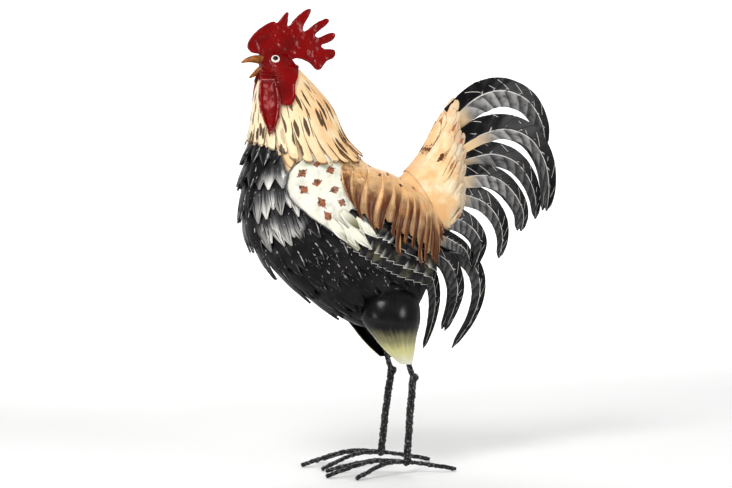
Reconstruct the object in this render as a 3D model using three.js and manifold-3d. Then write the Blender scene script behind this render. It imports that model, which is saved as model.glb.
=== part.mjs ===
// A free-standing rooster of cut, creased and painted sheet metal on two welded rod legs.
// Millimetres, +Z up, the head towards -X, the bird's left side at -Y, the toes on Z = 0.

import * as THREE from "three";
import Module from "manifold-3d";
import { mergeVertices } from "three/addons/utils/BufferGeometryUtils.js";

const wasm = await Module();
wasm.setup();

// ---------------------------------------------------------------- driving dimensions
const SHEET = 1.2; // sheet metal of the covers
const THIN_SHEET = 0.9; // sheet metal of the feather strips
const GAP = 0.35; // clearance kept between pieces that touch

const MIDDLE_X = 12; // the tables below are drawn with the bird's middle at this x

const FEATHER_RISE = 5; // how far a breast strip stands off the body at its tips
const FEATHER_CREASE = 0.9; // height of the crease down each feather
const BREAST_TIPS = [5.25, 6.1, 6.95, 7.8, 8.65, 9.45, 10.2, 10.9, 11.5]; // body stations; the first is hidden
const BREAST_FEATHERS = 8; // feathers on an even strip; an odd strip has one more
const BREAST_TUCK = 0.5; // how far a strip reaches up under the next one, as a share of their pitch

const CAPE_TOP = 2.0; // the cape starts at this body station
const CAPE_FINGERS = 16;
const CAPE_LIFT = 5; // stand-off at the throat end of the fringe
const SADDLE_FINGERS = 9;
const SADDLE_LIFT = 9.5; // stand-off at the finger tips, clear of the wing

const COMB_THICK = 5;
const WATTLE_SET_BACK = 8; // the right wattle hangs this much further back
const WATTLE_SET_OUT = 5.5; // and this much further out
const EYE_RADIUS = 5.2;

const BLADE_CREASE = 4; // height of its fold
const BLADE_INNER = 5; // distance of the inner layer of blades from the middle plane
const BLADE_LAYER = 6.5; // step from the inner to the outer layer
const FAN_SET_BACK = 5; // the right fan stands this much further back than the left one

const LEG_SIDE = 50; // distance of each leg from the middle plane
const SHANK_ROD = 4.7; // radii of the welded rods
const UPPER_ROD = 3.6;
const TOE_ROD = 2.7;
const ANKLE_HEIGHT = 16;
const KNEE_HEIGHT = 127;
const KNEE_LEFT = 8.5; // how far each knee is bent back
const KNEE_RIGHT = 15;

// Slices of the closed body from the crown to the vent:
// front x, front z, back x, back z, half width.
const BODY_SLICES = [
  [-179, 547, -150, 548, 9],
  [-183, 538, -143, 540, 17],
  [-182, 521, -133, 527, 22],
  [-188, 500, -118, 512, 27],
  [-192, 471, -90, 478, 36],
  [-193, 440, -72, 434, 47],
  [-200, 407, -39, 401, 57],
  [-204, 368, -7, 389, 63],
  [-200, 321, 27, 370, 66],
  [-173, 279, 51, 347, 66],
  [-125, 239, 60, 309, 58],
  [-67, 205, 56, 270, 46],
  [-12, 195, 42, 240, 33],
  [12, 198, 30, 214, 16],
];

// Slices of the tail base from the saddle to the fan.
const TAIL_SLICES = [
  [0, 380, 50, 322, 30],
  [28, 407, 70, 316, 29],
  [50, 436, 83, 322, 23],
  [70, 468, 91, 334, 18],
  [87, 491, 97, 352, 15],
  [99, 502, 108, 366, 15],
];
const TAIL_SOLID_END = 4; // the wedge stops here, the covers run on over the blades

// Slices of a thigh, with its own half depth, from the dome down to the leg.
const THIGH_SLICES = [
  [-46, 237, 6, 239, 14],
  [-62, 221, 21, 225, 30],
  [-57, 200, 17, 199, 31],
  [-43, 180, 13, 176, 25],
  [-28, 162, 11, 157, 17],
  [-9, 145, 8, 144, 9],
];
const THIGH_PLANE = [38, 46]; // distance of its open side from the middle plane, top and bottom

// Angle round the body, front = 0, at which the wing covers the breast strips, by body station.
const WING_EDGE = [
  [4, 50],
  [6, 54],
  [7, 59],
  [7.6, 62],
  [8.35, 70],
  [8.9, 74],
  [9.6, 79],
  [10.3, 90],
  [11.1, 118],
  [12, 126],
];

// Tail blades, top to bottom: width above and below the fold, layer outwards from the middle,
// and the fold line seen from the side.
const BLADES = [
  [18.5, 23, 0, [[78, 466], [120, 496], [154, 503], [190, 489], [211, 457], [216, 428]]],
  [21, 13, 1, [[78, 422], [122, 445], [156, 451], [189, 439], [211, 409], [218, 372], [215, 341]]],
  [17, 17, 0, [[74, 405], [107, 413], [138, 418], [170, 408], [191, 385], [201, 358], [202, 330]]],
  [15, 16, 1, [[74, 386], [104, 389], [130, 389], [154, 378], [174, 355], [181, 336], [178, 314]]],
  [16.5, 14, 0, [[74, 368], [104, 362], [128, 352], [147, 330], [153, 305], [148, 278]]],
  [15, 16, 1, [[52, 340], [83, 333], [106, 320], [119, 299], [109, 264]]],
  [10, 12, 2, [[48, 316], [76, 303], [94, 291], [103, 268]]],
  [10.5, 14, 0, [[60, 292], [98, 282], [116, 261], [120, 232], [109, 198], [81, 159]]],
  [12.5, 12, 1, [[46, 292], [74, 272], [85, 243], [82, 218], [68, 183]]],
  [8.5, 10, 0, [[44, 272], [53, 248], [56, 224], [51, 192], [40, 160]]],
];
const BLADE_STEPS = 5;

// Toes of the left foot: tip x, distance of the tip from the middle plane, height of the arch.
const TOES = [
  [-112, 52, 19],
  [-82, 84, 17],
  [-98, 8, 17],
  [70, 48, 11],
];

// ---------------------------------------------------------------- materials
const paint = (color, roughness = 0.35, metalness = 0.1) => ({ color, roughness, metalness });
const PAINT = {
  cream: paint(0xf3d7a0),
  black: paint(0x1b191b),
  grey: paint(0x4a4a4c),
  red: paint(0x7c0408, 0.18),
  horn: paint(0xa5612a, 0.4),
  white: paint(0xefe9dc, 0.3),
  tan: paint(0xc08a55),
  panel: paint(0xeee8d2),
  thigh: paint(0xb9b78c),
  rod: paint(0x242326, 0.55, 0.3),
};

const rooster = new THREE.Group();

function addPiece(name, geometry, colours) {
  const placed = geometry.clone().translate(-MIDDLE_X, 0, 0);
  const mesh = new THREE.Mesh(placed, new THREE.MeshStandardMaterial(colours));
  mesh.name = name;
  rooster.add(mesh);
}

// ---------------------------------------------------------------- closed meshes and cuts
const { lerp, clamp, degToRad } = THREE.MathUtils;

function fromTriangles(points, triangles) {
  const geometry = new THREE.BufferGeometry();
  geometry.setAttribute("position", new THREE.Float32BufferAttribute(points, 3));
  let volume = 0;
  const corner = (index) => new THREE.Vector3().fromArray(points, 3 * index);
  for (let t = 0; t < triangles.length; t += 3) {
    const [a, b, c] = [0, 1, 2].map((k) => corner(triangles[t + k]));
    volume += a.dot(b.cross(c));
  }
  const outward = volume < 0 ? triangles.slice().reverse() : triangles;
  geometry.setIndex(outward);
  geometry.computeVertexNormals();
  return geometry;
}

function toSolid(geometry) {
  const bare = geometry.clone();
  bare.deleteAttribute("normal");
  bare.deleteAttribute("uv");
  const merged = mergeVertices(bare, 1e-4);
  const vertProperties = new Float32Array(merged.attributes.position.array);
  const triVerts = new Uint32Array(merged.index.array);
  return new wasm.Manifold(new wasm.Mesh({ numProp: 3, vertProperties, triVerts }));
}

function fromSolid(solid) {
  const mesh = solid.getMesh();
  return fromTriangles(Array.from(mesh.vertProperties), Array.from(mesh.triVerts));
}

// The largest body left when the cutters are taken out of a geometry.
function cutAway(geometry, cutters) {
  let solid = toSolid(geometry);
  for (const cutter of cutters) solid = solid.subtract(cutter);
  const bodies = solid.decompose();
  bodies.sort((a, b) => b.volume() - a.volume());
  return fromSolid(bodies[0]);
}

function weld(geometries) {
  let solid = toSolid(geometries[0]);
  for (const geometry of geometries.slice(1)) solid = solid.add(toSolid(geometry));
  return fromSolid(solid);
}

function mirrored(geometry) {
  const source = geometry.index ? geometry : mergeVertices(geometry);
  const points = Array.from(source.attributes.position.array, (v, k) => (k % 3 === 1 ? -v : v));
  return fromTriangles(points, Array.from(source.index.array));
}

// A pair of pieces, the left one as given and the right one its mirror image.
function addPair(name, geometry, colours, suffix = "") {
  addPiece(`${name}_left${suffix}`, geometry, colours);
  addPiece(`${name}_right${suffix}`, mirrored(geometry), colours);
}

// ---------------------------------------------------------------- curved skins that sheets are laid on
// A skin is a stack of oval slices. A place on it is a station along the stack and an angle round
// the slice: 0 at the front, 90 on the bird's left side, 180 at the back.
class Skin {
  constructor(slices) {
    this.last = slices.length - 1;
    const curve = (x, z, w) =>
      new THREE.CatmullRomCurve3(slices.map((s) => new THREE.Vector3(s[x], s[w], s[z])));
    this.front = curve(0, 1, 4);
    this.back = curve(2, 3, 4);
  }

  slice(station) {
    const t = clamp(station / this.last, 0, 1);
    const front = this.front.getPoint(t);
    const back = this.back.getPoint(t);
    const halfWidth = front.y;
    front.y = 0;
    back.y = 0;
    const centre = front.clone().add(back).multiplyScalar(0.5);
    const reach = front.clone().sub(centre);
    return { front, back, centre, reach, halfWidth };
  }

  point(station, angle) {
    const { centre, reach, halfWidth } = this.slice(station);
    const turn = degToRad(angle);
    const point = centre.addScaledVector(reach, Math.cos(turn));
    point.y = -halfWidth * Math.sin(turn);
    return point;
  }

  normal(station, angle) {
    const along = this.point(station + 0.05, angle).sub(this.point(station - 0.05, angle));
    const round = this.point(station, angle + 1).sub(this.point(station, angle - 1));
    const normal = along.cross(round).normalize();
    const outward = this.point(station, angle).sub(this.slice(station).centre);
    return normal.dot(outward) < 0 ? normal.negate() : normal;
  }

  // Station and angle of the place that is seen at x, z from the side.
  find(x, z, first = 4, last = this.last - 0.2) {
    let low = first;
    let high = last;
    for (let k = 0; k < 30; k++) {
      const middle = (low + high) / 2;
      const { front, back } = this.slice(middle);
      const below = (back.x - front.x) * (z - front.z) - (back.z - front.z) * (x - front.x) < 0;
      if (below) low = middle;
      else high = middle;
    }
    const { centre, reach } = this.slice(low);
    const across = ((x - centre.x) * reach.x + (z - centre.z) * reach.z) / reach.lengthSq();
    return [low, THREE.MathUtils.radToDeg(Math.acos(clamp(across, -0.999, 0.999)))];
  }

  // The skin as a closed body between two stations, moved outwards by a distance.
  solid(lift, first, last, rings, sides) {
    const points = [];
    const triangles = [];
    for (let j = 0; j <= rings; j++) {
      const station = lerp(first, last, j / rings);
      for (let i = 0; i < sides; i++) {
        const angle = (360 * i) / sides;
        const spot = this.point(station, angle).addScaledVector(this.normal(station, angle), lift);
        points.push(...spot.toArray());
      }
    }
    for (let j = 0; j < rings; j++) {
      for (let i = 0; i < sides; i++) {
        const a = j * sides + i;
        const b = j * sides + ((i + 1) % sides);
        triangles.push(a, b, b + sides, a, b + sides, a + sides);
      }
    }
    for (const [ring, flip] of [[0, false], [rings, true]]) {
      const hub = points.length / 3;
      points.push(...this.slice(lerp(first, last, ring / rings)).centre.toArray());
      for (let i = 0; i < sides; i++) {
        const a = ring * sides + i;
        const b = ring * sides + ((i + 1) % sides);
        triangles.push(...(flip ? [hub, a, b] : [hub, b, a]));
      }
    }
    return fromTriangles(points, triangles);
  }
}

// ---------------------------------------------------------------- sheets
// A closed sheet over a grid of places: at(i, j) gives a point, the way out and the stand-off.
// A looped sheet closes on itself round its columns. A grown sheet is a cutter that clears it.
function sheet(columns, rows, at, { thick = SHEET, loop = false, grow = 0 } = {}) {
  const across = loop ? columns : columns + 1;
  const points = [];
  for (const outer of [0, 1]) {
    for (let i = 0; i < across; i++) {
      for (let j = 0; j <= rows; j++) {
        const { point, normal, lift } = at(i, j);
        const rise = outer ? lift + thick + grow : lift - grow;
        points.push(...point.clone().addScaledVector(normal, rise).toArray());
      }
    }
  }
  const id = (outer, i, j) => (outer * across + (i % across)) * (rows + 1) + j;
  const triangles = [];
  const quad = (a, b, c, d) => triangles.push(a, b, c, a, c, d);
  for (let i = 0; i < columns; i++) {
    for (let j = 0; j < rows; j++) {
      quad(id(1, i, j), id(1, i + 1, j), id(1, i + 1, j + 1), id(1, i, j + 1));
      quad(id(0, i, j), id(0, i, j + 1), id(0, i + 1, j + 1), id(0, i + 1, j));
    }
    quad(id(0, i, 0), id(0, i + 1, 0), id(1, i + 1, 0), id(1, i, 0));
    quad(id(0, i, rows), id(1, i, rows), id(1, i + 1, rows), id(0, i + 1, rows));
  }
  for (let j = 0; !loop && j < rows; j++) {
    quad(id(0, 0, j), id(1, 0, j), id(1, 0, j + 1), id(0, 0, j + 1));
    quad(id(0, columns, j), id(0, columns, j + 1), id(1, columns, j + 1), id(1, columns, j));
  }
  return fromTriangles(points, triangles);
}

// Columns of a fringe: place across the strip, reach down it and height of the crease.
// One feather's shape is a list of such columns, from its left notch up to its right one.
function fringe(count, feather, loop) {
  const columns = [];
  for (let f = 0; f < count; f++) {
    for (const [across, reach, crease] of feather) columns.push([(f + across) / count, reach, crease]);
  }
  if (!loop) columns.push([1, feather[0][1], feather[0][2]]);
  return columns;
}

// A strip of feathers on a skin. place(u, v) gives the station and the angle, lift(u, v) the
// stand-off, with u across the strip and v from its root to the tips. Its rows are level with each
// other down to the plain depth and then part towards the notches and the tips.
function strip(skin, columns, rows, place, lift, { loop = false, plain = 0, ...options } = {}) {
  const fringeRows = 2;
  const plainRows = rows - fringeRows;
  const at = (i, j) => {
    const [u, reach, crease] = columns[i];
    const parted = lerp(plain, reach, (j - plainRows) / fringeRows);
    const level = j < plainRows ? (plain * j) / plainRows : parted;
    const v = plain > 0 ? level : (reach * j) / rows;
    const [station, angle] = place(u, v);
    return {
      point: skin.point(station, angle),
      normal: skin.normal(station, angle),
      lift: lift(u, v) + crease * FEATHER_CREASE * v,
    };
  };
  return sheet(loop ? columns.length : columns.length - 1, rows, at, { loop, ...options });
}

// Straight-line reading of a short table of [key, value] pairs.
function readTable(table, key) {
  const last = table.length - 1;
  let k = 0;
  while (k < last - 1 && table[k + 1][0] < key) k += 1;
  const [a, b] = [table[k], table[k + 1]];
  return lerp(a[1], b[1], clamp((key - a[0]) / (b[0] - a[0]), 0, 1));
}

const sideCurve = (points) =>
  new THREE.CatmullRomCurve3(points.map(([x, z]) => new THREE.Vector3(x, 0, z)));

const bodySolid = (lift) => body.solid(lift, 0, body.last, 16, 16);

const body = new Skin(BODY_SLICES);
const tail = new Skin(TAIL_SLICES);
const thigh = new Skin(THIGH_SLICES);

// ---------------------------------------------------------------- body, breast and belly
const POINTED = [
  [0, 0.8, 0],
  [0.5, 1, 1],
];

function makeBody() {
  addPiece("body", bodySolid(0), PAINT.black);
}

function makeBreast() {
  const side = (station) => readTable(WING_EDGE, station) - 2.5;
  for (let row = 1; row < BREAST_TIPS.length; row++) {
    const tip = BREAST_TIPS[row];
    const pitch = tip - BREAST_TIPS[row - 1];
    const root = tip - (1 + BREAST_TUCK) * pitch;
    const columns = fringe(BREAST_FEATHERS + (row % 2), POINTED, false);
    const place = (u, v) => {
      const station = lerp(root, tip, v);
      return [station, side(station) * (2 * u - 1)];
    };
    const lift = (u, v) => 0.5 + FEATHER_RISE * v;
    const geometry = strip(body, columns, 2, place, lift, { thick: THIN_SHEET });
    addPiece(`breast_row_${row}`, geometry, row < 4 ? PAINT.grey : PAINT.black);
  }
}

// ---------------------------------------------------------------- neck
const ROUND_FINGER = [
  [0, 0.8, 0],
  [0.24, 0.98, 1],
  [0.72, 0.98, 1],
];

const capeLift = (station) => 1.6 + CAPE_LIFT * 0.8 * ((station - CAPE_TOP) / 3.2) ** 2;

// Station of the cape's finger tips by angle: lowest over the shoulders.
const CAPE_TIPS = [
  [0, 5.15],
  [40, 5.45],
  [75, 6.0],
  [125, 6.0],
  [155, 5.6],
  [180, 5.45],
];
const capeTip = (angle) => readTable(CAPE_TIPS, Math.abs(angle));

function makeCape() {
  const columns = fringe(CAPE_FINGERS, ROUND_FINGER, true);
  const place = (u, v) => {
    const angle = 360 * u - 180;
    return [lerp(CAPE_TOP, capeTip(angle), v), angle];
  };
  const lift = (u, v) => capeLift(place(u, v)[0]);
  const geometry = strip(body, columns, 3, place, lift, { thick: THIN_SHEET, loop: true });
  addPiece("hackle_cape", geometry, PAINT.cream);
}

// ---------------------------------------------------------------- head
// Outline of a cheek mask: angle round the head and the station where the mask ends.
const MASK_EDGE = [
  [4, 2.2],
  [30, 2.6],
  [56, 2.9],
  [61, 3.55],
  [72, 3.8],
  [84, 3.7],
  [96, 3.3],
  [122, 2.6],
  [150, 2.25],
  [176, 2.05],
];

// Stand-off of a mask: close on the skull, and over the cape further down.
const maskLift = (station) => 1.2 + (station > 1.7 ? capeLift(station) + THIN_SHEET + 1.7 : 0);

const headClear = toSolid(body.solid(maskLift(0) + SHEET + GAP, 0, 3, 8, 18));

function maskSheet(grow) {
  const rows = 4;
  const top = 0.12;
  const at = (i, j) => {
    const [angle, end] = MASK_EDGE[i];
    const station = j === rows - 1 ? Math.min(1.8, lerp(top, end, 0.7)) : lerp(top, end, j / rows);
    const place = [j < rows - 1 ? Math.min(station, 0.45 * j) : station, angle];
    return { point: body.point(...place), normal: body.normal(...place), lift: maskLift(place[0]) };
  };
  return sheet(MASK_EDGE.length - 1, rows, at, { grow });
}

function makeMasks() {
  addPair("face", maskSheet(0), PAINT.red);
}

function makeComb() {
  const outline = new THREE.Shape();
  outline.moveTo(-189, 550);
  outline.quadraticCurveTo(-203, 552, -201, 563);
  outline.quadraticCurveTo(-198, 570, -190, 577);
  outline.lineTo(-177, 587);
  outline.lineTo(-163, 592);
  // Each point: notch before it, tip, and the way its tip leans.
  const points = [
    [-161, 590, -147, 604, 2],
    [-147, 585, -118, 609, 2.5],
    [-125, 582, -93, 596, 2.5],
    [-110, 575, -83, 577, 2.2],
    [-102, 561, -84, 553, 3],
  ];
  for (const [x, z, tipX, tipZ, round] of points) {
    outline.lineTo(x, z);
    outline.quadraticCurveTo(lerp(x, tipX, 0.5) - 2, lerp(z, tipZ, 0.5) + 3, tipX - round, tipZ);
    outline.lineTo(tipX + round * 0.6, tipZ - round);
  }
  outline.quadraticCurveTo(-86, 544, -95, 539);
  outline.lineTo(-103, 529);
  outline.lineTo(-109, 529);
  outline.quadraticCurveTo(-118, 540, -132, 545);
  outline.lineTo(-156, 548);
  const bevel = { bevelThickness: 1, bevelSize: 1, bevelSegments: 1, curveSegments: 2 };
  const geometry = new THREE.ExtrudeGeometry(outline, { depth: COMB_THICK - 2, ...bevel });
  geometry.translate(0, 0, 1 - COMB_THICK / 2);
  geometry.rotateX(Math.PI / 2);
  addPiece("comb", cutAway(geometry, [headClear]), PAINT.red);
}

// A horn: an oval tube narrowing along a curve to a blunt tip. sizes gives half height, half width.
function horn(curve, sizes, sides) {
  const points = [];
  const triangles = [];
  sizes.forEach(([high, wide], ring) => {
    const t = ring / (sizes.length - 1);
    const spot = curve.getPoint(t);
    const along = curve.getTangent(t);
    const up = new THREE.Vector3(-along.z, 0, along.x);
    for (let i = 0; i < sides; i++) {
      const turn = (2 * Math.PI * i) / sides;
      const rim = spot.clone().addScaledVector(up, high * Math.cos(turn));
      rim.y += wide * Math.sin(turn);
      points.push(...rim.toArray());
    }
  });
  for (let ring = 0; ring < sizes.length - 1; ring++) {
    for (let i = 0; i < sides; i++) {
      const a = ring * sides + i;
      const b = ring * sides + ((i + 1) % sides);
      triangles.push(a, b, b + sides, a, b + sides, a + sides);
    }
  }
  const end = (sizes.length - 1) * sides;
  for (let i = 1; i < sides - 1; i++) triangles.push(0, i + 1, i, end, end + i, end + i + 1);
  return fromTriangles(points, triangles);
}

function upperHorn(grow) {
  const line = sideCurve([[-176, 540], [-192, 542], [-202, 540.5], [-209, 538]]);
  const sizes = [[7, 9], [6, 6.5], [3.6, 3.6], [0.8, 0.8]];
  return horn(line, sizes.map(([high, wide]) => [high + grow, wide + grow]), 8);
}

function makeBeak() {
  const mask = maskSheet(GAP + 0.1);
  const clear = [headClear, toSolid(mask), toSolid(mirrored(mask))];
  const lowerLine = sideCurve([[-177, 533], [-188, 525.5], [-194, 521], [-199, 517.5]]);
  const lowerHorn = horn(lowerLine, [[6, 8], [4.6, 5.6], [3.2, 3.4], [0.8, 0.8]], 8);
  addPiece("beak_upper", cutAway(upperHorn(0), clear), PAINT.horn);
  addPiece("beak_lower", cutAway(lowerHorn, [...clear, toSolid(upperHorn(0.4))]), PAINT.horn);
}

function makeEyes() {
  const [station, angle] = [0.85, 75];
  const profile = [[0, 0], [EYE_RADIUS, 0], [EYE_RADIUS, 1], [EYE_RADIUS * 0.7, 2.2], [0, 2.8]];
  const geometry = new THREE.LatheGeometry(profile.map(([x, y]) => new THREE.Vector2(x, y)), 10);
  const normal = body.normal(station, angle);
  const turn = new THREE.Quaternion().setFromUnitVectors(new THREE.Vector3(0, 1, 0), normal);
  const spot = body.point(station, angle).addScaledVector(normal, maskLift(station) + SHEET + GAP);
  geometry.applyQuaternion(turn);
  geometry.translate(...spot.toArray());
  addPair("eye", fromSolid(toSolid(geometry)), PAINT.white);
}

// A leaf-shaped plate hanging from the cheek, with a raised rim.
function makeWattles() {
  const [rows, length, halfWidth] = [5, 73, 15];
  const profile = [[-1, 0], [-0.9, 1.6], [-0.6, 0], [0.6, 0], [0.9, 1.6], [1, 0]];
  const top = new THREE.Vector3(-181, -25, 517);
  const across = new THREE.Vector3(0.79, -0.61, 0).normalize();
  const normal = new THREE.Vector3(-0.61, -0.79, 0).normalize();
  const down = new THREE.Vector3(0, -0.2, -1).normalize();
  const at = (i, j) => {
    const v = j / rows;
    const wide = halfWidth * Math.max(0.16, Math.sin(Math.PI * (0.18 + 0.8 * v) ** 0.85));
    const point = top.clone().addScaledVector(down, length * v);
    point.addScaledVector(across, profile[i][0] * wide);
    return { point, normal, lift: profile[i][1] };
  };
  const plate = sheet(profile.length - 1, rows, at, { thick: 2 });
  addPiece("wattle_left", plate, PAINT.red);
  addPiece("wattle_right", mirrored(plate).translate(WATTLE_SET_BACK, WATTLE_SET_OUT, 0), PAINT.red);
}

// ---------------------------------------------------------------- wings
// A wing sheet lies between two lines seen from the side; v runs from the upper to the lower one.
function wingSheet(upperLine, lowerLine, columns, rows, lift, notch, options) {
  const upper = sideCurve(upperLine);
  const lower = sideCurve(lowerLine);
  const at = (i, j) => {
    const u = i / columns;
    const reach = i % 2 || !notch ? 1 : 1 - notch;
    const v = (j / rows) * reach;
    const spot = upper.getPoint(u).lerp(lower.getPoint(u), v);
    const place = body.find(spot.x, spot.z);
    return { point: body.point(...place), normal: body.normal(...place), lift: lift(u, v) };
  };
  return sheet(columns, rows, at, { thick: THIN_SHEET, ...options });
}

const WING_BLADES = [
  {
    upper: [[-84, 352], [-56, 342], [-8, 318], [40, 284]],
    lower: [[-88, 333], [-60, 317], [-31, 303], [45, 262]],
  },
  {
    upper: [[-86, 340], [-54, 322], [-12, 300], [38, 272]],
    lower: [[-97, 322], [-66, 301], [-30, 280], [36, 255]],
  },
  {
    upper: [[-84, 324], [-50, 300], [-8, 278], [32, 264]],
    lower: [[-93, 307], [-62, 284], [-22, 263], [28, 246]],
  },
];

function makeWings() {
  const backLine = [[-104, 416], [-96, 390], [-87, 367], [-80, 349], [-74, 330], [-66, 304]];
  const frontLine = [[-138, 418], [-161, 396], [-163, 368], [-141, 343], [-107, 319], [-76, 296]];
  const shoulderLift = (u) => lerp(2.4, 10.6, u);
  addPair("wing_shoulder", wingSheet(backLine, frontLine, 8, 3, shoulderLift, 0, { thick: SHEET }), PAINT.panel);
  WING_BLADES.forEach(({ upper, lower }, k) => {
    const lift = (u, v) => 2 + 4.5 * v;
    addPair("wing_blade", wingSheet(upper, lower, 12, 2, lift, 0.14), PAINT.black, `_${k + 1}`);
  });
}

// ---------------------------------------------------------------- saddle
const SADDLE_RIDGE = [5, 9.2]; // body stations of its first and last finger root
const SADDLE_TIPS = [
  [-84, 352],
  [-56, 322],
  [-29, 302],
  [-1, 290],
  [22, 279],
  [37, 277],
  [44, 298],
  [50, 320],
];
const SADDLE_FINGER = [
  [0, 0.6, 0],
  [0.24, 0.96, 0.8],
  [0.76, 0.96, 0.8],
];

function saddleSheet(grow) {
  const tips = sideCurve(SADDLE_TIPS);
  const columns = fringe(SADDLE_FINGERS, SADDLE_FINGER, false);
  columns[0] = [0, 0.9, 0]; // the front edge is cut straight
  const place = (u, v) => {
    const tip = tips.getPoint(u);
    const [tipStation, tipAngle] = body.find(tip.x, tip.z);
    const rootStation = lerp(SADDLE_RIDGE[0], SADDLE_RIDGE[1], u);
    const frontRise = 45 * (1 - THREE.MathUtils.smoothstep(u, 0, 0.2));
    const rearRise = 10 * THREE.MathUtils.smoothstep(u, 0.45, 0.9);
    const rootAngle = 178.5 - frontRise - rearRise;
    const early = lerp(2.2, 1.2, Math.min(1, u * 4));
    const down = 1 - (1 - v) ** early;
    return [lerp(rootStation, tipStation, v), lerp(rootAngle, tipAngle, down)];
  };
  const lift = (u, v) => 2 + (SADDLE_LIFT - 2) * v ** 0.8;
  return strip(body, columns, 4, place, lift, { thick: THIN_SHEET, grow, plain: 0.42 });
}

// ---------------------------------------------------------------- tail
function tailCover(grow) {
  const fingers = 5;
  const columns = fringe(fingers, [[0.05, 0.82, 0], [0.3, 0.97, 0.6], [0.7, 0.97, 0.6]], false);
  const place = (u, v) => {
    const tip = 4.3 + 0.1 * grow - 0.5 * Math.abs(u - 0.4);
    return [lerp(1.4, tip, v), lerp(12 - 2 * grow, 166 + 2 * grow, u)];
  };
  const lift = (u, v) => 1.2 + 1.6 * v;
  return strip(tail, columns, 2, place, lift, { thick: THIN_SHEET, grow });
}

// A curved tail blade, folded along its middle line so that the fold stands outwards.
function blade([above, below, layer, points]) {
  const line = sideCurve(points);
  const plane = BLADE_INNER + BLADE_LAYER * layer;
  const widths = [-below, 0, above];
  const at = (i, j) => {
    const t = j / BLADE_STEPS;
    const spot = line.getPoint(t);
    const along = line.getTangent(t);
    const across = new THREE.Vector3(-along.z, 0, along.x);
    const taper = Math.min(1, 0.8 + t) * (1.06 - 0.82 * t ** 2.2);
    spot.addScaledVector(across, widths[i] * taper);
    spot.y = -(plane + (i === 1 ? BLADE_CREASE * Math.min(1, 1.2 - t) : 0));
    return { point: spot, normal: new THREE.Vector3(0, -1, 0), lift: 0 };
  };
  return sheet(2, BLADE_STEPS, at, { thick: SHEET });
}

function makeTail() {
  const bodyClear = toSolid(bodySolid(GAP));
  const saddleClear = saddleSheet(GAP);
  const saddleCutters = [toSolid(saddleClear), toSolid(mirrored(saddleClear))];
  const wedge = tail.solid(0, 0, TAIL_SOLID_END, 4, 14);
  addPiece("tail_base", cutAway(wedge, [bodyClear]), PAINT.cream);
  const wedgeClear = tail.solid(GAP, 0, TAIL_SOLID_END + 0.02, 4, 14);
  const wedgeCutters = [toSolid(wedgeClear), toSolid(mirrored(wedgeClear))];
  addPair("saddle", cutAway(saddleSheet(0), wedgeCutters), PAINT.tan);

  const cover = tailCover(0);
  addPair("tail_cover", cutAway(cover, [bodyClear, ...saddleCutters]), PAINT.cream);
  const coverClear = tailCover(2 * GAP);

  const coverCutters = [toSolid(coverClear), toSolid(mirrored(coverClear))];
  const cutters = [bodyClear, ...wedgeCutters, ...coverCutters, ...saddleCutters];
  BLADES.forEach((row, k) => {
    const left = blade(row);
    const right = mirrored(left).translate(FAN_SET_BACK, 0, 0);
    const colours = k < 7 ? PAINT.grey : PAINT.black;
    addPiece(`sickle_left_${k + 1}`, cutAway(left, cutters), colours);
    addPiece(`sickle_right_${k + 1}`, cutAway(right, cutters), colours);
  });
}

// ---------------------------------------------------------------- legs
function makeThigh(knee) {
  const columns = 6;
  const rows = 5;
  const at = (i, j) => {
    const station = lerp(0.2, thigh.last, j / rows);
    const angle = (180 * i) / columns;
    const point = thigh.point(station, angle);
    point.y -= lerp(THIGH_PLANE[0], THIGH_PLANE[1], j / rows);
    return { point, normal: thigh.normal(station, angle), lift: -SHEET };
  };
  const clear = FEATHER_RISE + FEATHER_CREASE + THIN_SHEET + 1.9 + GAP;
  const bodyClear = toSolid(bodySolid(clear));
  const rodClear = toSolid(rod(upperLeg(knee), UPPER_ROD + GAP));
  const shell = sheet(columns, rows, at).translate(knee - KNEE_LEFT, 0, 0);
  return cutAway(shell, [bodyClear, rodClear]);
}

function makeThighs() {
  addPiece("thigh_left", makeThigh(KNEE_LEFT), PAINT.thigh);
  addPiece("thigh_right", mirrored(makeThigh(KNEE_RIGHT)), PAINT.thigh);
}

const SIDE = -LEG_SIDE;
const ANKLE = [0.5, SIDE, ANKLE_HEIGHT];

// The upper rod runs from the knee up into the thigh.
const upperLeg = (knee) => [
  [knee, SIDE, KNEE_HEIGHT],
  [knee - 4.5, SIDE, KNEE_HEIGHT + 13],
  [knee - 11.5, SIDE, KNEE_HEIGHT + 45],
];

function rod(points, radius, sides = 6) {
  const circle = new THREE.Shape();
  for (let k = 0; k < sides; k++) {
    const turn = (2 * Math.PI * k) / sides;
    const spot = [radius * Math.cos(turn), radius * Math.sin(turn)];
    if (k) circle.lineTo(...spot);
    else circle.moveTo(...spot);
  }
  const path = new THREE.CatmullRomCurve3(points.map((p) => new THREE.Vector3(...p)));
  const steps = 2 * points.length - 3;
  return new THREE.ExtrudeGeometry(circle, { steps, extrudePath: path, bevelEnabled: false });
}

function lump(x, y, z, radius) {
  return new THREE.IcosahedronGeometry(radius, 0).translate(x, y, z);
}

function makeLeg(knee) {
  const pieces = [
    rod([ANKLE, [knee * 0.45, SIDE, 70], [knee, SIDE, KNEE_HEIGHT]], SHANK_ROD),
    rod(upperLeg(knee), UPPER_ROD),
    lump(knee + 3, SIDE, KNEE_HEIGHT, 6.4),
    lump(0, SIDE, ANKLE_HEIGHT, 6.4),
  ];
  for (const [tipX, tipSide, arch] of TOES) {
    const bend = [lerp(0, tipX, 0.42), lerp(SIDE, -tipSide, 0.4), arch];
    pieces.push(rod([ANKLE, bend, [tipX, -tipSide, TOE_ROD + 0.1]], TOE_ROD));
  }
  const leg = weld(pieces);
  leg.computeBoundingBox();
  return leg.translate(0, 0, -leg.boundingBox.min.z);
}

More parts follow.
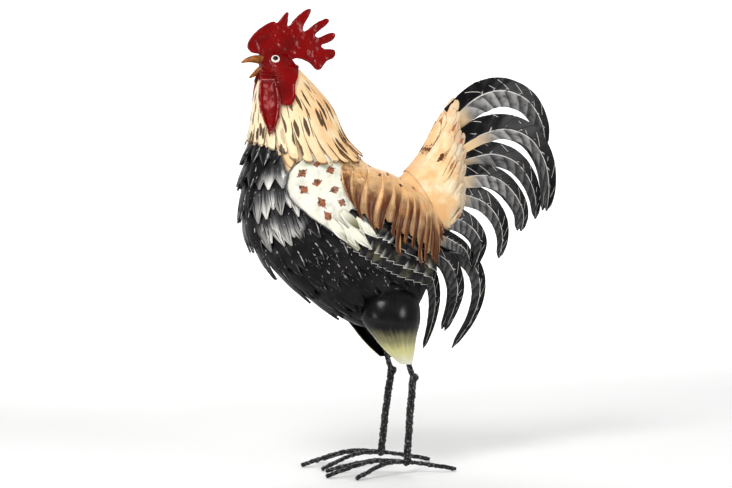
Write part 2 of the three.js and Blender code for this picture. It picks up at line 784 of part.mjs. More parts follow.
function makeLegs() {
  addPiece("leg_left", makeLeg(KNEE_LEFT), PAINT.rod);
  addPiece("leg_right", mirrored(makeLeg(KNEE_RIGHT)), PAINT.rod);
}

makeBody();
makeBreast();
makeCape();
makeMasks();
makeComb();
makeBeak();
makeEyes();
makeWattles();
makeWings();
makeTail();
makeThighs();
makeLegs();

export default rooster;
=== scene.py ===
"""Painted sheet-metal rooster: every feather sheet, plate and rod of the bird in full detail."""

import math

import bpy
import numpy as np
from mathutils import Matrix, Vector


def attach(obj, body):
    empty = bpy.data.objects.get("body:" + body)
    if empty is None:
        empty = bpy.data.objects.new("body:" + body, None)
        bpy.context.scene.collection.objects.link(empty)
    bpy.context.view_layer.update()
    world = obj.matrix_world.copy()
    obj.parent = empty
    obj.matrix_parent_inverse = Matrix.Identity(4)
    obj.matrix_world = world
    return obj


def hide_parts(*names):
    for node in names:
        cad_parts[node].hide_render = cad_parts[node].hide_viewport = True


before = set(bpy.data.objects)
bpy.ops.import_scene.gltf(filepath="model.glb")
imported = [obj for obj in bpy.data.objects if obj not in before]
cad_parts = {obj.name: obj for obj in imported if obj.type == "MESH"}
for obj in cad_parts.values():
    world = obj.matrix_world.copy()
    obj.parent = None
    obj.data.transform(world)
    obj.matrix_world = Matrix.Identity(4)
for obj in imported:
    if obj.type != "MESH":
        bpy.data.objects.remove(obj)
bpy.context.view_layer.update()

bl_info = {
    "name": "Sheet-metal rooster",
    "version": (1, 0, 0),
    "blender": (4, 5, 0),
    "location": "3D View > Sidebar > Rooster",
    "description": "Builds the painted feather sheets, plates and rods of a garden rooster",
    "category": "Object",
}

MM = 0.001
MIDDLE_X = 12.0  # the lines below are drawn with the bird's middle at this x
END_CAP = 0.02  # share of a closed form's length that rounds off each of its ends
MELT_GRAIN = 1.0  # fineness of the pieces that are melted into one skin
UNEVEN_DEPTH = 2.0  # relief of the comb's dents and of the weld beads

# The stage, in metres: name, place, disk size and power of each light.
LIGHTS = [
    ("key light", (-1.3, -1.5, 2.2), 1.0, 41),
    ("fill light", (1.5, -2.3, 1.1), 0.7, 20),
    ("back light", (0.6, 1.5, 2.4), 1.4, 18),
    ("side light", (-2.4, -1.3, 0.55), 0.7, 9),
]
LIGHT_AIM = Vector((0, 0, 0.3))
AIR_STRENGTH = 0.42
FLOOR_MIDDLE, FLOOR_SIZE = (0, -4, 0), (30, 20, 1)
WALL_FROM, WALL_HEIGHT, WALL_BEND = 3, 6, 2.0
CAMERA_TURN, CAMERA_TILT, CAMERA_FAR = -19.5, 2.8, 3.0
CAMERA_AIM = Vector((-0.051, 0, 0.3))
CAMERA_LENS, CAMERA_SENSOR = 111.8, 36

# Slices of the closed body from the crown to the vent, in millimetres:
# front x, front z, back x, back z, half width.
BODY_SLICES = [
    (-179, 547, -150, 548, 9),
    (-183, 538, -143, 540, 17),
    (-182, 521, -133, 527, 22),
    (-188, 500, -118, 512, 27),
    (-192, 471, -90, 478, 36),
    (-193, 440, -72, 434, 47),
    (-200, 407, -39, 401, 57),
    (-204, 368, -7, 389, 63),
    (-200, 321, 27, 370, 66),
    (-173, 279, 51, 347, 66),
    (-125, 239, 60, 309, 58),
    (-67, 205, 56, 270, 46),
    (-12, 195, 42, 240, 33),
    (12, 198, 30, 214, 16),
]

# Slices of the tail base from the saddle to the fan.
TAIL_SLICES = [
    (0, 380, 50, 322, 30),
    (28, 407, 70, 316, 29),
    (50, 436, 83, 322, 23),
    (70, 468, 91, 334, 18),
    (87, 491, 97, 352, 15),
    (99, 502, 108, 366, 15),
]

TAIL_WEDGE_END = 4.0  # the station that the wedge ends at

# Slices of a thigh from the dome down to the leg, with its own half depth.
THIGH_SLICES = [
    (-42, 242, 2, 243, 17),
    (-57, 226, 17, 229, 28),
    (-60, 204, 20, 204, 33),
    (-45, 182, 14, 178, 27),
    (-28, 162, 11, 157, 17),
    (-9, 145, 8, 144, 9),
]

# Stations of the body that the rows of breast feathers reach, after the one they start from.
BREAST_TIPS = [5.25, 6.1, 6.95, 7.8, 8.65, 9.45, 10.2, 10.9, 11.5]

# Angle round the body, front = 0, that the wing's edge reaches, by body station.
WING_EDGE = [
    (4, 50), (6, 54), (7, 59), (7.6, 62), (8.35, 70), (8.9, 74), (9.6, 79), (10.3, 90), (11.1, 118), (12, 126),
]

# Tail blades, top to bottom: width above and below the fold, layer outwards from the middle,
# and the fold line seen from the side.
BLADES = [
    (18.5, 23, 0, [(78, 466), (120, 496), (154, 503), (190, 489), (211, 457), (216, 428)]),
    (21, 13, 1, [(78, 422), (122, 445), (156, 451), (189, 439), (211, 409), (218, 372), (215, 341)]),
    (17, 17, 0, [(74, 405), (107, 413), (138, 418), (170, 408), (191, 385), (201, 358), (202, 330)]),
    (15, 16, 1, [(74, 386), (104, 389), (130, 389), (154, 378), (174, 355), (181, 336), (178, 314)]),
    (16.5, 14, 0, [(74, 368), (104, 362), (128, 352), (147, 330), (153, 305), (148, 278)]),
    (15, 16, 1, [(52, 340), (83, 333), (106, 320), (119, 299), (109, 264)]),
    (10, 12, 2, [(48, 316), (76, 303), (94, 291), (103, 268)]),
    (10.5, 14, 0, [(60, 292), (98, 282), (116, 261), (120, 232), (109, 198), (81, 159)]),
    (12.5, 12, 1, [(46, 292), (74, 272), (85, 243), (82, 218), (68, 183)]),
    (8.5, 10, 0, [(44, 272), (53, 248), (56, 224), (51, 192), (40, 160)]),
]
# Paints of the blades: name, how black the blade is below its fold, how far cream reaches along it.
BLADE_PAINTS = [
    ("Top tail blade", 0.0, 0.14),
    ("Grey tail blade", 0.0, 0.3),
    ("Black tail blade", 0.45, 0.3),
    ("Short tail blade", 0.75, 0.12),
]
BLADE_KINDS = [0, 1, 2, 1, 2, 2, 2, 3, 3, 3]  # the paint of each blade, top to bottom
BLADE_INNER = 5.0
BLADE_LAYER = 6.5
FAN_SET_BACK = 5.0


# ------------------------------------------------------------------ lines and skins
def smooth_line(points, samples=24):
    """Places along a centripetal Catmull-Rom line through the points."""
    p = np.array(points, float)
    p = np.vstack([2 * p[0] - p[1], p, 2 * p[-1] - p[-2]])
    w = np.linspace(0, 1, samples, endpoint=False)[:, None]
    spans = []
    for a, b, c, d in zip(p[:-3], p[1:-2], p[2:-1], p[3:]):
        da, db, dc = (np.linalg.norm(gap) ** 0.5 for gap in (b - a, c - b, d - c))
        start = ((b - a) / da - (c - a) / (da + db) + (c - b) / db) * db
        end = ((c - b) / db - (d - b) / (db + dc) + (d - c) / dc) * db
        bend, twist = 3 * (c - b) - 2 * start - end, 2 * (b - c) + start + end
        spans.append(b + start * w + bend * w**2 + twist * w**3)
    return np.vstack(spans + [p[-2:-1]])


class Line:
    """A smooth line that is read with t from 0 to 1."""

    def __init__(self, points):
        self.places = smooth_line(points)
        self.keys = np.linspace(0, 1, len(self.places))

    def at(self, t):
        return np.stack([np.interp(t, self.keys, column) for column in self.places.T], -1)

    def along(self, t):
        step = self.at(np.minimum(t + 0.006, 1)) - self.at(np.maximum(t - 0.006, 0))
        return step / np.linalg.norm(step, axis=-1, keepdims=True)


def rise(value, low, high):
    """0 below low, 1 above high and an S-shaped step between them."""
    t = np.clip((np.asarray(value, float) - low) / (high - low), 0, 1)
    return t * t * (3 - 2 * t)


def read(table, key):
    """Straight-line reading of a short table of (key, value) pairs."""
    keys, values = zip(*table)
    return np.interp(key, keys, values)


class Skin:
    """A stack of oval slices. A place on it is a station along the stack and an angle round
    the slice: 0 at the front, 90 on the bird's left side, 180 at the back."""

    def __init__(self, slices):
        self.last = len(slices) - 1
        self.front = Line([(s[0], s[4], s[1]) for s in slices])
        self.back = Line([(s[2], s[4], s[3]) for s in slices])

    def point(self, station, angle):
        t = np.clip(np.asarray(station, float) / self.last, 0, 1)
        front, back = self.front.at(t), self.back.at(t)
        turn = np.radians(angle)
        x = (front[..., 0] + back[..., 0]) / 2 + (front[..., 0] - back[..., 0]) / 2 * np.cos(turn)
        z = (front[..., 2] + back[..., 2]) / 2 + (front[..., 2] - back[..., 2]) / 2 * np.cos(turn)
        return np.stack([x, -front[..., 1] * np.sin(turn), z], -1)

    def middle(self, station):
        return (self.point(station, 0) + self.point(station, 180)) / 2

    def normal(self, station, angle):
        down = self.point(station + 0.08, angle) - self.point(station - 0.08, angle)
        round_ = self.point(station, angle + 1) - self.point(station, angle - 1)
        normal = np.cross(down, round_)
        normal /= np.linalg.norm(normal, axis=-1, keepdims=True) + 1e-9
        out = self.point(station, angle) - self.middle(station)
        return np.where((normal * out).sum(-1, keepdims=True) < 0, -normal, normal)

    def raised(self, station, angle, lift):
        station, angle = np.broadcast_arrays(np.asarray(station, float), np.asarray(angle, float))
        return self.point(station, angle) + self.normal(station, angle) * np.asarray(lift)[..., None]

    def degree(self, station, angle):
        """Millimetres for one degree round the slice at a place."""
        return np.linalg.norm(self.point(station, angle + 2) - self.point(station, angle - 2), axis=-1) / 4

    def find(self, x, z, first=4.0):
        """Station and angle of the places seen at x, z from the side."""
        low = np.full(np.shape(x), first)
        high = np.full(np.shape(x), self.last - 0.2)
        for _ in range(24):
            middle = (low + high) / 2
            f, b = self.point(middle, 0), self.point(middle, 180)
            slope = (b[..., 0] - f[..., 0]) * (z - f[..., 2]) - (b[..., 2] - f[..., 2]) * (x - f[..., 0])
            below = slope < 0
            low, high = np.where(below, middle, low), np.where(below, high, middle)
        f, b = self.point(low, 0), self.point(low, 180)
        centre, reach = (f + b) / 2, (f - b) / 2
        across = (x - centre[..., 0]) * reach[..., 0] + (z - centre[..., 2]) * reach[..., 2]
        across /= (reach**2).sum(-1)
        return low, np.degrees(np.arccos(np.clip(across, -0.999, 0.999)))


body = Skin(BODY_SLICES)
tail = Skin(TAIL_SLICES)
thigh = Skin(THIGH_SLICES)


# ------------------------------------------------------------------ sheets and pieces
def clear_selection():
    bpy.ops.object.select_all(action="DESELECT")


def finish_mesh(piece, smooth_angle=35):
    """Selects one piece alone and shades it smooth but for its sharp edges."""
    clear_selection()
    piece.select_set(True)
    bpy.context.view_layer.objects.active = piece
    bpy.ops.object.shade_smooth_by_angle(angle=math.radians(smooth_angle))


def apply(piece, kind, **settings):
    """Adds a modifier and applies it."""
    bpy.context.view_layer.objects.active = piece
    modifier = piece.modifiers.new(kind.title(), kind)
    for name, value in settings.items():
        setattr(modifier, name, value)
    bpy.ops.object.modifier_apply(modifier=modifier.name)


def corners(piece):
    spots = np.empty(3 * len(piece.data.vertices))
    piece.data.vertices.foreach_get("co", spots)
    return spots.reshape(-1, 3)


def set_corners(piece, spots):
    """Moves a piece's corners to places given in millimetres."""
    placed = (np.asarray(spots) - (MIDDLE_X, 0, 0)) * MM
    piece.data.vertices.foreach_set("co", placed.ravel())
    piece.data.update()


class Blank:
    """A flat unit sheet with a grid of folds and a thickness, the stock that sheets are laid from.
    u runs across it, v from its root to its tip and w is the height in it in millimetres."""

    def __init__(self, columns, rows, thick):
        clear_selection()
        bpy.ops.mesh.primitive_grid_add(x_subdivisions=columns, y_subdivisions=rows, size=1)
        flat = bpy.context.object
        apply(flat, "SOLIDIFY", thickness=thick, offset=1)
        spots = corners(flat)
        self.u, self.v, self.w = spots[:, 0] + 0.5, spots[:, 1] + 0.5, spots[:, 2]
        self.w = self.w - self.w.min()
        mesh = flat.data
        self.faces = [tuple(face.vertices) for face in mesh.polygons]
        self.pattern = np.array([tuple(loop.uv) for loop in mesh.uv_layers.active.data])
        bpy.data.objects.remove(flat)


def volume(spots, faces):
    """Signed volume that closed faces hold: negative when they point inwards."""
    total = 0.0
    by_count = {}
    for face in faces:
        by_count.setdefault(len(face), []).append(face)
    for count, group in by_count.items():
        places = spots[np.array(group)]
        for k in range(1, count - 1):
            total += (places[:, 0] * np.cross(places[:, k], places[:, k + 1])).sum()
    return total


def lay(name, blank, shape, count=1, tone=None):
    """Lays count copies of a blank: shape(copy, u, v, w) gives their corners. Each copy gets a tone."""
    copy = np.arange(count)[:, None]
    spots = shape(copy, blank.u[None, :], blank.v[None, :], blank.w[None, :])
    spots = np.broadcast_to(spots, (count, len(blank.u), 3))
    turned = volume(spots[0], blank.faces) < 0
    order = [tuple(reversed(face)) for face in blank.faces] if turned else blank.faces
    faces = [tuple(corner + k * len(blank.u) for corner in face) for k in range(count) for face in order]
    mesh = bpy.data.meshes.new(name)
    mesh.from_pydata([(0, 0, 0)] * (count * len(blank.u)), [], faces)
    piece = bpy.data.objects.new(name, mesh)
    bpy.context.collection.objects.link(piece)
    set_corners(piece, spots.reshape(-1, 3))
    pattern = blank.pattern
    if turned:
        starts = np.cumsum([0] + [len(face) for face in blank.faces])
        pattern = np.vstack([pattern[a:b][::-1] for a, b in zip(starts[:-1], starts[1:])])
    layer = mesh.uv_layers.new(name="UVMap")
    layer.data.foreach_set("uv", np.tile(pattern, (count, 1)).ravel())
    tones = chance(len(name) + count, count) if tone is None else np.asarray(tone, float)
    held = mesh.attributes.new("tone", "FLOAT", "POINT")
    held.data.foreach_set("value", np.repeat(tones, len(blank.u)))
    face = mesh.attributes.new("outer", "FLOAT", "POINT")
    face.data.foreach_set("value", np.tile(blank.w / blank.w.max(), count))
    finish_mesh(piece)
    return piece


def closed_skin(name, rounds, rows, shape):
    """A closed form from a grid whose seam and two ends are merged: shape(u, v) gives its corners."""
    clear_selection()
    bpy.ops.mesh.primitive_grid_add(x_subdivisions=rounds, y_subdivisions=rows, size=1)
    piece = bpy.context.object
    piece.name = piece.data.name = name
    flat = corners(piece)
    set_corners(piece, shape(flat[:, 0] + 0.5, flat[:, 1] + 0.5))
    bpy.ops.object.mode_set(mode="EDIT")
    bpy.ops.mesh.select_all(action="SELECT")
    bpy.ops.mesh.remove_doubles(threshold=1e-6)
    bpy.ops.mesh.normals_make_consistent(inside=False)
    bpy.ops.object.mode_set(mode="OBJECT")
    finish_mesh(piece, 50)
    return piece


def capped(v, cap=END_CAP):
    """Turns a place v from end to end of a closed form into how far it is along the form's line,
    and how wide the form is there, as the caps at both ends close it."""
    along = np.clip((v - cap) / (1 - 2 * cap), 0, 1)
    return along, np.sqrt(np.clip(np.minimum(v, 1 - v) / cap, 0, 1))


def skin_form(name, skin, last, rounds, rows):
    """The closed form that a skin wraps, from its first station to the last one."""

    def shape(u, v):
        along, close = capped(v)
        middle = skin.middle(along * last)
        return middle + (skin.point(along * last, 360 * u) - middle) * close[:, None]

    return closed_skin(name, rounds, rows, shape)


def joined(name, pieces):
    clear_selection()
    for piece in pieces:
        piece.select_set(True)
    bpy.context.view_layer.objects.active = pieces[0]
    if len(pieces) > 1:
        bpy.ops.object.join()
    pieces[0].name = pieces[0].data.name = name
    return pieces[0]


def mirrored(piece, shift=(0, 0, 0)):
    """Turns a piece into its mirror image on the bird's other side, moved by millimetres."""
    spots = corners(piece) * (1, -1, 1) + np.array(shift) * MM
    piece.data.vertices.foreach_set("co", spots.ravel())
    piece.data.flip_normals()
    piece.data.update()
    return piece


def other_side(piece, name, shift=(0, 0, 0)):
    """The mirrored copy of a left piece, for the right side, moved by millimetres."""
    twin = piece.copy()
    twin.data = piece.data.copy()
    twin.name = twin.data.name = name
    bpy.context.collection.objects.link(twin)
    return mirrored(twin, shift)


def melted(piece, rounds, kind, grain, middle):
    """Melts a piece into one skin and makes its surface uneven, with bumps of a grain in millimetres."""
    apply(piece, "REMESH", mode="VOXEL", voxel_size=MELT_GRAIN * MM)
    apply(piece, "SMOOTH", factor=0.5, iterations=rounds)
    uneven = bpy.data.textures.new(f"{piece.name} bumps", kind)
    uneven.noise_scale = grain * MM
    apply(piece, "DISPLACE", texture=uneven, strength=UNEVEN_DEPTH * MM, mid_level=middle)


def dress(piece, material, slot, *nodes):
    """Paints a piece, fixes it to the bird and lets it stand for its plain solids."""
    piece.data.materials.clear()
    piece.data.materials.append(material)
    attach(piece, "root")
    if nodes:
        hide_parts(*nodes)
    return piece


def dress_pair(piece, material, slot, node, suffix="", shift=(0, 0, 0)):
    """Dresses a left piece and its mirrored right one, which stand for two plain solids."""
    piece.name = piece.data.name = f"{node}_metal_left{suffix}"
    twin = other_side(piece, f"{node}_metal_right{suffix}", shift)
    dress(piece, material, slot, f"{node}_left{suffix}")
    dress(twin, material, slot, f"{node}_right{suffix}")


# ------------------------------------------------------------------ paint
def srgb(red, green, blue):
    """A screen colour, 0 to 255, as the linear colour that shaders use."""
    line = [c / 255 for c in (red, green, blue)]
    return tuple(c / 12.92 if c <= 0.04045 else ((c + 0.055) / 1.055) ** 2.4 for c in line)


class Wire:
    """A shader value that sums can be written with."""

    def __init__(self, paint, socket):
        self.paint, self.socket = paint, socket

    def sum(self, operation, *values):
        return self.paint.node("ShaderNodeMath", {"operation": operation}, dict(enumerate(values)))

    def __add__(self, other):
        return self.sum("ADD", self, other)

    __radd__ = __add__

    def __sub__(self, other):
        return self.sum("SUBTRACT", self, other)

    def __rsub__(self, other):
        return self.sum("SUBTRACT", other, self)

    def __mul__(self, other):
        return self.sum("MULTIPLY", self, other)

    __rmul__ = __mul__

    def __truediv__(self, other):
        return self.sum("DIVIDE", self, other)

    def __abs__(self):
        return self.sum("ABSOLUTE", self)

    def part(self):
        """The value's part after the point."""
        return self.sum("FRACT", self)

    def floor(self):
        return self.sum("FLOOR", self)

    def least(self, other):
        return self.sum("MINIMUM", self, other)

    def most(self, other):
        return self.sum("MAXIMUM", self, other)

    def step(self, low, high):
        """0 at low, 1 at high and smooth between them."""
        settings = {"interpolation_type": "SMOOTHSTEP"}
        return self.paint.node("ShaderNodeMapRange", settings, {0: self, 1: low, 2: high, 3: 0.0, 4: 1.0})


class Paint:
    """One painted finish and the nodes that make it."""

    def __init__(self, name):
        self.material = bpy.data.materials.new(name)
        self.material.use_nodes = True
        self.tree = self.material.node_tree
        self.surface = self.tree.nodes["Principled BSDF"]
        self.made = {}

    def node(self, kind, settings, inputs, output=0):
        made = self.tree.nodes.new(kind)
        for name, value in settings.items():
            setattr(made, name, value)
        for key, value in inputs.items():
            self.feed(made.inputs[key], value)
        return Wire(self, made.outputs[output])

    def feed(self, socket, value):
        if isinstance(value, Wire):
            self.tree.links.new(value.socket, socket)
        elif socket.type == "RGBA":
            socket.default_value = (*tuple(value)[:3], 1.0)
        else:
            socket.default_value = value

    def once(self, key, make):
        if key not in self.made:
            self.made[key] = make()
        return self.made[key]

    def spot(self, kind="Object"):
        return self.once(kind, lambda: self.node("ShaderNodeTexCoord", {}, {}, kind))

    def place(self):
        """x, y and z on the bird in millimetres."""

        def make():
            return [self.node("ShaderNodeSeparateXYZ", {}, {0: self.spot()}, k) * 1000.0 for k in range(3)]

        return self.once("place", make)

    def sheet(self):
        """u across a sheet and v from its root to its tip."""

        def make():
            return [self.node("ShaderNodeSeparateXYZ", {}, {0: self.spot("UV")}, k) for k in range(2)]

        return self.once("sheet", make)

    def held(self, name):
        """A value that sheets carry. tone is a number from 0 to 1 that differs from feather to feather,
        outer is 1 on the outer face of a sheet and 0 on its inner face."""
        return self.once(name, lambda: self.node("ShaderNodeAttribute", {"attribute_name": name}, {}, "Fac"))

    def vector(self, x, y, z):
        return self.node("ShaderNodeCombineXYZ", {}, {0: x, 1: y, 2: z})

    def noise(self, size, detail=3.0, vector=None):
        """Cloudy noise with blots of a size in millimetres, or over a given vector."""
        scale = 1000.0 / size if vector is None else size
        inputs = {"Vector": vector or self.spot(), "Scale": scale, "Detail": detail, "Roughness": 0.55}
        return self.node("ShaderNodeTexNoise", {}, inputs)

    def cells(self, size, randomness=1.0):
        """Distance from the middles of cells of a size in millimetres."""
        inputs = {"Vector": self.spot(), "Scale": 1000.0 / size, "Randomness": randomness}
        return self.node("ShaderNodeTexVoronoi", {}, inputs)

    def mix(self, factor, first, second):
        """From the first colour to the second as the factor goes from 0 to 1."""
        return self.node("ShaderNodeMix", {"data_type": "RGBA"}, {0: factor, 6: first, 7: second}, 2)

    def over(self, factor, colour):
        """Paints a colour over what is there, as thick as the factor says."""
        self.colour = self.mix(factor, self.colour, colour)

    def finish(self, roughness, height, depth, coat=0.0, specular=0.1):
        """Sets the surface: depth is the height of the relief in millimetres."""
        self.feed(self.surface.inputs["Base Color"], self.colour)
        self.feed(self.surface.inputs["Roughness"], roughness)
        self.surface.inputs["Coat Weight"].default_value = coat
        self.surface.inputs["Coat Roughness"].default_value = 0.12
        self.surface.inputs["Specular IOR Level"].default_value = specular
        bump = self.node("ShaderNodeBump", {}, {"Height": height, "Distance": depth * MM, "Strength": 1.0})
        self.feed(self.surface.inputs["Normal"], bump)
        return self.material


# ------------------------------------------------------------------ finishes
def patchy(paint, colour, other, size, amount=1.0):
    """A colour that drifts into another one in soft patches."""
    return paint.mix(paint.noise(size).step(0.4, 0.65) * amount, colour, other)


def gloss(paint, base, spread=0.12):
    """Roughness with sprayed-paint unevenness."""
    return paint.noise(9, 4) * spread + (base - spread / 2)


def breast_paint(look):
    paint = Paint("Breast paint")
    (x, _, z), (u, v), tone = paint.place(), paint.sheet(), paint.held("tone")
    brush = paint.noise(1.0, 3, paint.vector(u * 9 + tone * 40, v * 1.6, tone * 17))
    paint.colour = patchy(paint, look.black, look.soot, 30)
    # Dry-brushed grey feathers on each side of the breast, whitest at their tips.
    across, down = (x + 183) / 30, (z - 352) / 58
    sector = 1 - (across * across + down * down + (tone - 0.5) * 0.5).step(0.55, 1.25)
    streak = brush.step(0.34, 0.56) * v.step(0.2, 0.7) * (tone * 0.6 + 0.5)
    paint.over(sector * streak * 0.85, look.grey)
    tips = v.step(0.5, 0.92) * brush.step(0.32, 0.55) * sector * (tone * 0.7 + 0.4)
    paint.over(tips, look.white)
    # Fine white lines down one edge of the black feathers, broken where the brush skipped.
    line = (1 - abs(u - 0.84).step(0.02, 0.05)) * v.step(0.35, 0.5) * (tone * 5).part().step(0.4, 0.5)
    line = line * paint.noise(7, 2).step(0.45, 0.55) * z.step(205, 290)
    paint.over(line * (1 - sector) * 0.6, look.white)
    tick = 1 - abs((v * 3 + u * 1.5 + tone * 7).part() - 0.5).step(0.03, 0.06)
    tick = tick * paint.noise(5, 1).step(0.64, 0.68)
    paint.over(tick * z.step(215, 300) * 0.6, look.white)
    rim = abs(u - 0.5).step(0.3, 0.42) * v.step(0.62, 0.74).most(v.step(0.93, 0.98))
    rim = rim * z.step(225, 285) * paint.noise(9, 2).step(0.46, 0.56) * (1 - sector)
    paint.over(rim * 0.3, look.grey)
    # Cream sprayed down from the throat, lower at the shoulder than in front.
    edge = 431 - (x + 188).step(0, 14) * 42 + paint.noise(12) * 14
    paint.over((z - edge).step(-7, 12), patchy(paint, look.cream, look.orange, 40, 0.4))
    # Painted shade: each feather darker at its root, under the row above, and along its edges, between
    # neighbours.
    dark = (1 - abs(u - 0.5).step(0.38, 0.5)) * 0.6 + 0.4
    paint.colour = paint.mix(v.step(0.0, 0.35) * dark * 0.15 + 0.85, look.black, paint.colour)
    height = brush * 0.5 + paint.noise(2.5) * 0.5
    return paint.finish(gloss(paint, 0.3), height, 0.25, coat=0.06)


def body_paint(look):
    paint = Paint("Body paint")
    x, _, z = paint.place()
    paint.colour = patchy(paint, look.black, look.soot, 25)
    upper = patchy(paint, look.cream, look.orange, 40, 0.5)
    paint.over((z + paint.noise(15) * 14 + x * 0.1 - 425).step(-10, 10), upper)
    back = z.step(332, 348) * x.step(-124, -108)
    paint.over(back, patchy(paint, look.tan, look.brown, 12, 0.6))
    return paint.finish(gloss(paint, 0.4), paint.noise(5), 0.3)


def hackle_paint(look):
    paint = Paint("Hackle paint")
    (u, v), (x, _, z) = paint.sheet(), paint.place()
    paint.colour = patchy(paint, look.cream, look.pale, 28, 0.8)
    paint.over((1 - (x + paint.noise(20) * 20).step(-176, -120)) * 0.75, look.pale)
    paint.over((x + 190).step(10, 70) * paint.noise(45, 2).step(0.4, 0.65) * 0.6, look.orange)
    paint.over((1 - z.step(405, 450)) * paint.noise(14).step(0.4, 0.6) * 0.5, look.orange)
    # Staggered brown brush strokes, one above the other down the neck.
    strokes = None
    for columns, rows, start in ((26, 3.9, 0.0), (26, 3.9, 0.5)):
        column, row = u * columns + start, v * rows + start
        lot = paint.noise(1.0, 0, paint.vector(column.floor() * 3.7, row.floor() * 5.3, start * 9))
        du = abs(column.part() - 0.5 + (lot - 0.5) * 0.5 + (v - 0.5) * 0.1)
        dv = abs(row.part() - 0.5 + (lot - 0.5) * 0.9)
        ragged = paint.noise(1.0, 3, paint.vector(u * 160, v * 22, 1.0)) - 0.5
        shape = (du * 5.8 + dv * dv * 7 + ragged * 1.0).step(0.75, 0.95)
        stroke = (1 - shape) * (lot * 7).part().step(0.12, 0.25)
        strokes = stroke if strokes is None else strokes.most(stroke)
    strokes = strokes * v.step(0.2, 0.3)
    paint.over(strokes * 0.92, look.streak)
    # Thin dark outline round each finger of the fringe.
    finger = abs((u * look.cape_fingers).part() - 0.5)
    side = finger.step(0.44, 0.485) * v.step(0.83, 0.88)
    outline = side.most(v.step(0.965, 0.99)) * paint.noise(6).step(0.3, 0.45)
    paint.over(outline * 0.8, look.streak)
    height = paint.noise(1.0, 4, paint.vector(u * 260, v * 9, 0.0)) * 0.5 + paint.noise(3) * 0.5
    return paint.finish(gloss(paint, 0.34), height, 0.3, coat=0.15)


def red_paint(look, leaf=False):
    """Glossy red over a dimpled plate. A leaf has painted highlights on its beaded rim and on its panel."""
    paint = Paint("Leaf enamel" if leaf else "Red enamel")
    x, _, _ = paint.place()
    dimple = paint.cells(12, randomness=0.9).step(0.0, 0.8) * ((x + 178).step(0, 60) * 0.8 + 0.2)
    paint.colour = paint.mix(paint.noise(26, 2).step(0.35, 0.75) * 0.7, look.red, look.dark_red)
    # Faint pink flecks: painted glints in the red.
    paint.over(paint.noise(4, 5).step(0.68, 0.8) * 0.08, look.highlight_pink)
    height = dimple * 0.8 + paint.noise(6, 2) * 0.25
    if leaf:
        u, v = paint.sheet()
        far = (1 - abs(u * 2 - 1)).least(v * 4.5).least((1 - v) * 4.5)
        # Painted highlights: a pink one along the beaded rim and a paler one on the panel.
        bead = (1 - abs(far - 0.16).step(0.03, 0.075)) * paint.noise(3, 2).step(0.4, 0.55)
        paint.over(bead * 0.7, look.highlight_pink)
        panel_highlight = far.step(0.4, 0.65) * paint.noise(9, 4).step(0.42, 0.66) * (1 - v.step(0.55, 0.75))
        paint.over(panel_highlight * 0.4, look.highlight_pink)
        height = far.step(0.2, 0.5) * 0.5 + paint.noise(4, 3) * 0.4
    return paint.finish(gloss(paint, 0.2, 0.1), height, 1.2, coat=0.16, specular=0.1)


def horn_paint(look):
    paint = Paint("Horn paint")
    x, _, _ = paint.place()
    paint.colour = patchy(paint, look.horn, look.dark_horn, 5, 0.8)
    paint.over((x + 214).step(0, 14) * 0.4, look.dark_horn)
    return paint.finish(gloss(paint, 0.3), paint.noise(3, 4), 0.25, coat=0.2)


def eye_paint(look):
    paint = Paint("Eye enamel")
    _, v = paint.sheet()
    paint.colour = paint.mix(v.step(0.60, 0.63), look.white, look.eye_ring)
    paint.over(v.step(0.73, 0.76), look.black)
    return paint.finish(paint.noise(2) * 0.06 + 0.14, paint.noise(2), 0.04, coat=0.2)


def spots(paint, places, size, longer=1.0):
    """Toothed leaf-shaped marks round the given x, z places."""
    x, _, z = paint.place()
    tooth = (paint.noise(3.0, 3) - 0.5) * 1.5
    marks = None
    for k, (px, pz, scale, turn) in enumerate(places):
        c, s = math.cos(turn), math.sin(turn)
        dx, dz = x - (px - MIDDLE_X), z - pz
        along, side = dx * c + dz * s, dz * c - dx * s
        far = abs(along) / (size * scale * longer) + abs(side) / (size * scale * 0.72)
        mark = 1 - (far + tooth).step(0.85, 1.05)
        marks = mark if marks is None else marks.most(mark)
    return marks


# Painted marks: x, z, size and turn of each.
PANEL_SPOTS = [
    (-148, 395, 1.0, 0.6), (-130, 383, 0.95, 0.4), (-147, 374, 1.0, 2.4), (-106, 374, 0.95, 0.3),
    (-110, 399, 0.95, 0.2), (-93, 389, 0.75, 0.7), (-124, 357, 1.15, 2.2), (-97, 357, 0.9, 2.6),
    (-116, 340, 1.05, 2.3), (-80, 331, 0.6, 2.4), (-128, 406, 0.7, 0.2),
]
SADDLE_LOZENGES = [
    (-44, 404, 0.8, 0.5), (-37, 392, 0.7, 0.3), (-22, 393, 0.7, 0.5), (-7, 378, 0.8, 2.6), (1, 387, 0.6, 0.4),
    (16, 374, 0.6, 2.6),
]
TAIL_MARKS = [(60, 415, 0.8, 0.75), (43, 425, 0.75, 0.8)]


def panel_paint(look):
    paint = Paint("Shoulder paint")
    u, v = paint.sheet()
    paint.colour = patchy(paint, look.panel, look.white, 22, 0.7)
    paint.over(paint.noise(18, 3).step(0.45, 0.75) * 0.4, look.olive)
    paint.over((u + paint.noise(12) * 0.4).step(0.82, 1.15) * 0.75, look.olive)
    marks = spots(paint, PANEL_SPOTS, 8.2)
    rust = paint.mix(paint.noise(4, 4).step(0.4, 0.65), look.rust, look.streak)
    rust = paint.mix(paint.noise(2.2, 2).step(0.62, 0.72) * 0.7, rust, look.orange)
    paint.over(marks * 0.95, rust)
    # Dark outline along the front edge and a thin brown one along the saddle.
    front = (v + (paint.noise(7) - 0.5) * 0.05).step(0.955, 0.985)
    paint.over(front, look.black)
    back = 1 - (v + (paint.noise(9) - 0.5) * 0.03).step(0.015, 0.03)
    paint.over(back * 0.7, look.rust)
    soot = (v + (paint.noise(20) - 0.5) * 0.35).step(0.86, 1.05) * 0.5
    paint.over(soot, look.grey)
    return paint.finish(gloss(paint, 0.36), paint.noise(6, 4) + marks * 0.3, 0.3, coat=0.1)


